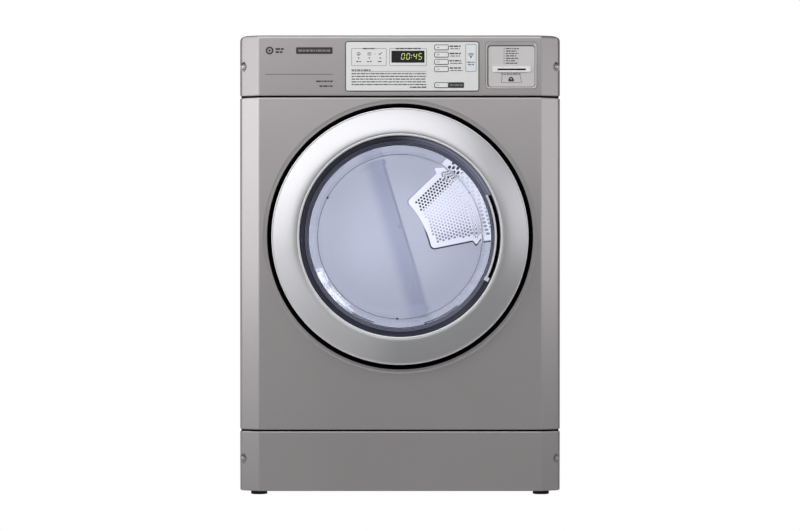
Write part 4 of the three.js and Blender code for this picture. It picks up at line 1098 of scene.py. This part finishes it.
def lint_filter():
    """The filter: a frame whose top follows the collar, and a fine screen."""
    x0, x1, y0, y1, low, _ = cad("lint_filter")
    radius, thick, pitch = 199, 12, 4.0
    crown = DOOR_Z - radius
    across = [x0 + (x1 - x0) * k / 24 for k in range(25)]
    top = [(x, DOOR_Z - math.sqrt(radius ** 2 - x ** 2)) for x in across]
    bm = bmesh.new()
    add_plate(bm, top + [(x, z - thick) for x, z in reversed(top)], y0, y1)
    for a, b, height in ((x0, x0 + 8, crown + 16), (x1 - 8, x1, crown + 16), (-3, 3, crown - 4)):
        add_plate(bm, rectangle(a, b, low, height), y0, y1)
    add_plate(bm, rectangle(x0, x1, low, low + 8), y0, y1)
    piece("lint_filter_frame", bm, white, "lint_filter", "filter", bevel=0.8, weld=False)
    y = (y0 + y1) / 2
    bm = bmesh.new()
    for k in range(int((x1 - x0 - 12) / pitch) + 1):
        x = x0 + 6 + k * pitch
        add_box(bm, x - 0.35, x + 0.35, y - 0.35, y + 0.35, low + 4, crown - 6)
    for k in range(int((crown - 10 - low) / pitch)):
        z = low + 6 + k * pitch
        add_box(bm, x0 + 4, x1 - 4, y - 0.3, y + 0.3, z - 0.3, z + 0.3)
    piece("lint_filter_screen", bm, mesh_grey, body="filter", flat=True, weld=False)


def mouth_grilles():
    """Dark perforated strips at the bottom of the mouth, on both sides of the filter's handle."""
    for word, first, last in (("left", 225.5, 253), ("right", 285.5, 310)):
        count = round((last - first) / 1.28)
        holes = []
        for k in range(1, count):
            turn = math.radians(first + (last - first) * k / count)
            for r, size, stagger in ((198.6, 1.45, 0), (194.6, 1.2, 0.011)):
                a = turn + stagger
                holes.append(circle(DOOR_X + r * math.cos(a), DOOR_Z + r * math.sin(a), size, 10))
        strip = band(*DOOR, 191.6, 201.5, first, last, 30)
        plate("mouth_grille_" + word, dark_frame, strip, -307.6, -306.4, holes, weld=False)


rear_wall()
air_inlet()
drum()
mouth()
mouth_grilles()
lint_filter()

# ---------------------------------------------------------------- cabinet and feet


def folded_sheet(name, node, side):
    """A side panel with rounded vertical folds."""
    x0, x1, y0, y1, z0, z1 = cad(node)
    out, inn = (x1, x0) if side > 0 else (x0, x1)
    line = rounded([(inn, y0), (out, y0), (out, y1), (inn, y1)], [0, 3, 3, 0], 5, closed=False)
    bm = bmesh.new()
    add_skin(bm, [level(line, z0), level(line, z1)], closed=False)
    made = piece(name, bm, side_paint, node)
    face_along(made, Vector((side, 0, 0)))
    thicken(made, 1.0)
    shade_flats(made)


def top_cover():
    x0, x1, y0, y1, z0, z1 = cad("top_panel")
    edge = 3.0
    turns = [k * math.pi / 10 for k in range(6)]
    steps = [(0, z0)] + [(edge * (1 - math.cos(a)), z1 - edge + edge * math.sin(a)) for a in turns]
    bm = bmesh.new()
    rows = []
    for inset, z in steps:
        outline = rectangle(x0 + inset, x1 - inset, y0 + inset, y1 - inset, 4 - inset * 0.9)
        rows.append(level(outline, z))
    bm.faces.new(add_skin(bm, rows)[-1])
    made = piece("top_cover", bm, side_paint, "top_panel")
    face_along(made, Vector((0, 0, 1)))
    thicken(made, 1.0)
    shade_flats(made)


def hex_screw(bm, x, y, z):
    """A small hexagon-headed screw on a sheet that faces the back."""
    add_lathe(bm, [(0, y + 0.9), (5.4, y + 0.6), (5.6, y), (0, y)], x, z, 24)
    add_plate(bm, circle(x, z, 3.9, 6), y + 0.6, y + 3.6)


def rear_cover():
    """The rear panel with raised louvres, an access cover, screws and the exhaust collar."""
    x0, x1, y0, y1, _, z1 = cad("rear_panel")
    duct_x, _, duct_z = middle("exhaust_duct")
    louvres = [(side * 190, 250 + row * 22) for side in (-1, 1) for row in range(8)]
    holes = [rectangle(x - 45, x + 45, z, z + 7, 3, 4) for x, z in louvres]
    holes.append(circle(duct_x, duct_z, 53, 64))
    plate("rear_cover", galvanised, grown("rear_panel", 0, 3), y0, y1, holes, node="rear_panel")
    turns = [k * math.pi / 12 for k in range(7)]
    bm = bmesh.new()
    for x, z in louvres:
        hood = [(y1, z + 9.5)] + [(y1 + 6.5 * math.sin(a), z + 8 - 8 * math.cos(a)) for a in reversed(turns)]
        add_skin(bm, [[(x - 46, y, h), (x + 46, y, h)] for y, h in hood], closed=False)
    thicken(piece("rear_louvres", bm, galvanised), 0.7, 0)
    access = rectangle(-120, 120, 640, 880, 10)
    plate("rear_access_cover", galvanised, access, y1 + 0.1, y1 + 1.3, bevel=0.4)
    places = [(x, y1, z) for x in (x0 + 10, x1 - 10) for z in (60, 260, 460, 660, 860)]
    places += [(x, y1, z1 - 12) for x in (-220, 0, 220)]
    places += [(x, y1 + 1.3, z) for x in (-108, 108) for z in (652, 760, 868)]
    bm = bmesh.new()
    for place in places:
        hex_screw(bm, *place)
    piece("rear_screws", bm, zinc, weld=False)
    _, right, start, end, _, _ = cad("exhaust_duct")
    r = right - duct_x
    outer = [(r, start), (r, 364), (r - 1.6, 366), (r - 1.6, 368), (r, 370), (r, end - 0.4), (r - 0.4, end)]
    inner = [(r - 0.8, end), (r - 1.1, end - 0.4), (r - 1.1, 370), (r - 2.6, 368), (r - 2.6, 366),
             (r - 1.1, 364), (r - 1.1, start)]
    lathe("exhaust_collar", galvanised, outer + inner, duct_x, duct_z, 96, node="exhaust_duct", angle=40)
    gland = [(0, y1 + 9), (6, y1 + 9), (6, y1 + 5), (12, y1 + 4), (13.5, y1 + 2.5), (13.5, y1), (0, y1)]
    lathe("cable_gland", black, gland, -270, 905, 48, bevel=0.5)


def feet():
    for node in ("foot_front_left", "foot_front_right", "foot_rear_left", "foot_rear_right"):
        x, y, _ = middle(node)
        top = cad(node)[5]
        pad = [(0, 0), (17.5, 0), (17.5, 6.5), (13, 8.6), (0, 8.6)]
        pad = rounded(pad, [0, 1.6, 2.4, 1.5, 0], 5, closed=False)
        bm = bmesh.new()
        add_lathe(bm, pad, x, y, 64, "Z")
        piece(node + "_pad", bm, rubber, node, node + "_body")
        z = 8.2
        thread = [(0, z)]
        while z < top - 2:
            thread += [(5.0, z), (4.45, z + 0.7), (5.0, z + 1.4)]
            z += 1.5
        thread += [(4.2, top), (0, top)]
        bm = bmesh.new()
        add_lathe(bm, thread, x, y, 32, "Z")
        hexagon = circle(x, y, 9.6, 6, 0.3)
        add_skin(bm, [level(hexagon, 8.8), level(hexagon, 14.2)], capped=True)
        piece(node + "_stud", bm, zinc, body=node + "_body", weld=False)


def gap_shade_sheets():
    """Near-black sheets behind the narrow gaps between the covers, as painted shade."""
    line = plan(HALF, 3.0, BACK + 10)
    bm = bmesh.new()
    for lower, upper in (("kick_panel", "front_panel"), ("front_panel", "control_panel")):
        add_skin(bm, [level(line, cad(lower)[5] - 6), level(line, cad(upper)[4] + 6)], closed=False)
    thicken(piece("cover_gap_shade_sheets", bm, gap_shade_black), 0.8, 0)


folded_sheet("side_cover_left", "side_panel_left", -1)
folded_sheet("side_cover_right", "side_panel_right", 1)
top_cover()
rear_cover()
feet()
gap_shade_sheets()

# ---------------------------------------------------------------- CAD nodes that stay

KEPT = {
    galvanised: ("base_pan", "heater_duct", "idler_arm"),
    zinc: ("roller_axle_left", "roller_axle_right", "motor_shaft", "idler_spring", "hinge_bracket",
           "hinge_pin", "hinge_leaf", "door_strike"),
    black: ("door_latch", "blower_housing", "idler_pulley"),
    white: ("lint_duct", "blower_wheel"),
    rubber: ("drive_belt", "drum_roller_left", "drum_roller_right"),
    board_green: ("control_board",),
    heat_stain: ("heater_coil",),
    cast: ("motor_housing",),
}
for look, names in KEPT.items():
    for name in names:
        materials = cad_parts[name].data.materials
        materials.clear()
        materials.append(look)

# ---------------------------------------------------------------- stage, light and camera

WHITE = (1, 1, 1, 1)
FRONT_GLOW, LEFT_GLOW, BACK_GLOW = 0.26, 0.22, 0.03
CAMERA_DISTANCE, CAMERA_HEIGHT, CAMERA_LENS = 6.0, 0.491, 126.4


def add_object(name, data):
    made = bpy.data.objects.new(name, data)
    bpy.context.scene.collection.objects.link(made)
    return made


def stage():
    """A pale floor: white to the camera, a soft glow in reflections, and diffuse to light."""
    nodes = Surface("studio_white")
    ray = nodes.add("LightPath").outputs
    # Brighter near the object and towards the left, where the studio's fill falls.
    place = nodes.add("SeparateXYZ", {"Vector": nodes.add("NewGeometry").outputs["Position"]}).outputs
    near = nodes.ramp(place["Y"], -3.0, -0.9, 0.17, 0.40)
    left = nodes.ramp(place["X"], -0.1, -1.6, 0, 0.35)
    soft_glow = nodes.add("Emission", {"Color": WHITE, "Strength": nodes.maths("ADD", near, left)}).outputs[0]
    white_glow = nodes.add("Emission", {"Color": WHITE, "Strength": 1.0}).outputs[0]
    pale = nodes.add("BsdfDiffuse", {"Color": (0.34, 0.34, 0.34, 1)}).outputs[0]
    seen = nodes.either(ray["Is Glossy Ray"], pale, soft_glow)
    nodes.set(nodes.output, nodes.either(ray["Is Camera Ray"], seen, white_glow))
    mesh = bpy.data.meshes.new("studio_floor")
    mesh.from_pydata([(-20, -20, 0), (20, -20, 0), (20, 20, 0), (-20, 20, 0)], [], [(0, 1, 2, 3)])
    mesh.materials.append(nodes.material)
    add_object("studio_floor", mesh)


def area_light(name, place, target, width, height, power, colour=(1, 1, 1)):
    data = bpy.data.lights.new(name, "AREA")
    data.shape = "RECTANGLE"
    data.size, data.size_y = width, height
    data.energy = power
    data.color = colour
    made = add_object(name, data)
    made.location = place
    made.rotation_euler = (Vector(target) - Vector(place)).to_track_quat("-Z", "Y").to_euler()
    made.visible_camera = False
    return made


def surroundings():
    """White to the camera. In reflections the front is pale, the left brighter and the back dark."""
    world = bpy.data.worlds.new("studio")
    world.use_nodes = True
    bpy.context.scene.world = world
    nodes = Nodes(world.node_tree)
    way = nodes.add("SeparateXYZ", {"Vector": nodes.add("TexCoord").outputs["Generated"]}).outputs
    ahead = nodes.ramp(way["Y"], 0.25, -0.55, BACK_GLOW, FRONT_GLOW)
    rise = nodes.ramp(way["Z"], -0.25, 0.25, 0.65, 1.35)
    left = nodes.ramp(way["X"], -0.35, -0.8, 0, LEFT_GLOW)
    in_front = nodes.ramp(way["Y"], 0.1, -0.2)
    total = nodes.maths("ADD", nodes.maths("MULTIPLY", ahead, rise), nodes.maths("MULTIPLY", left, in_front))
    ray = nodes.add("LightPath").outputs
    softer = nodes.maths("MULTIPLY_ADD", ray["Is Diffuse Ray"], -0.75, 1.0)
    total = nodes.maths("MULTIPLY", total, softer)
    strength = nodes.add("Mix", {0: ray["Is Camera Ray"], 2: total, 3: 1.0}, data_type="FLOAT").outputs[0]
    background = world.node_tree.nodes["Background"].inputs
    nodes.set(background["Color"], WHITE)
    nodes.set(background["Strength"], strength)


def lights():
    area_light("key_above", (-0.35, -1.35, 1.8), (0, -0.3, 0.75), 2.8, 1.4, 23)
    area_light("fill_left", (-1.05, -0.9, 0.8), (-0.2, -0.35, 0.72), 0.8, 0.8, 3.2)
    area_light("fill_right", (1.2, -0.95, 0.8), (0.2, -0.35, 0.72), 0.8, 0.8, 2.6)
    area_light("back_light", (0.4, 3.2, 2.2), (0, 0.3, 0.5), 2.2, 1.4, 46)
    inner = area_light("drum_light", (-0.02, -0.24, 0.60), (0.0, 0.297, 0.52), 0.3, 0.26, 3.45, (1, 0.985, 1))
    inner.visible_glossy = False
    inner.visible_transmission = False
    # The drum's own lamp, high on the right: it only glints in the wall of the glass bowl.
    lamp = area_light("drum_lamp", (0.222, -0.1, 0.732), (-0.12, -0.3, 0.45), 0.36, 0.16, 0.8,
                      (0.97, 0.98, 1))
    lamp.data.shape = "ELLIPSE"
    lamp.data.use_nodes = True
    nodes = Nodes(lamp.data.node_tree)
    glint = nodes.maths("MINIMUM", nodes.add("LightPath").outputs["Glossy Depth"], 1.0)
    nodes.set(nodes.tree.nodes["Emission"].inputs["Strength"], glint)


def camera():
    data = bpy.data.cameras.new("camera")
    data.lens = CAMERA_LENS
    data.sensor_width = 36
    data.clip_end = 60
    made = add_object("camera", data)
    made.location = (0, FACE * MM - CAMERA_DISTANCE, CAMERA_HEIGHT)
    made.rotation_euler = (math.radians(90), 0, 0)
    bpy.context.scene.camera = made


stage()
surroundings()
lights()
camera()
bpy.context.scene.view_settings.view_transform = "Standard"
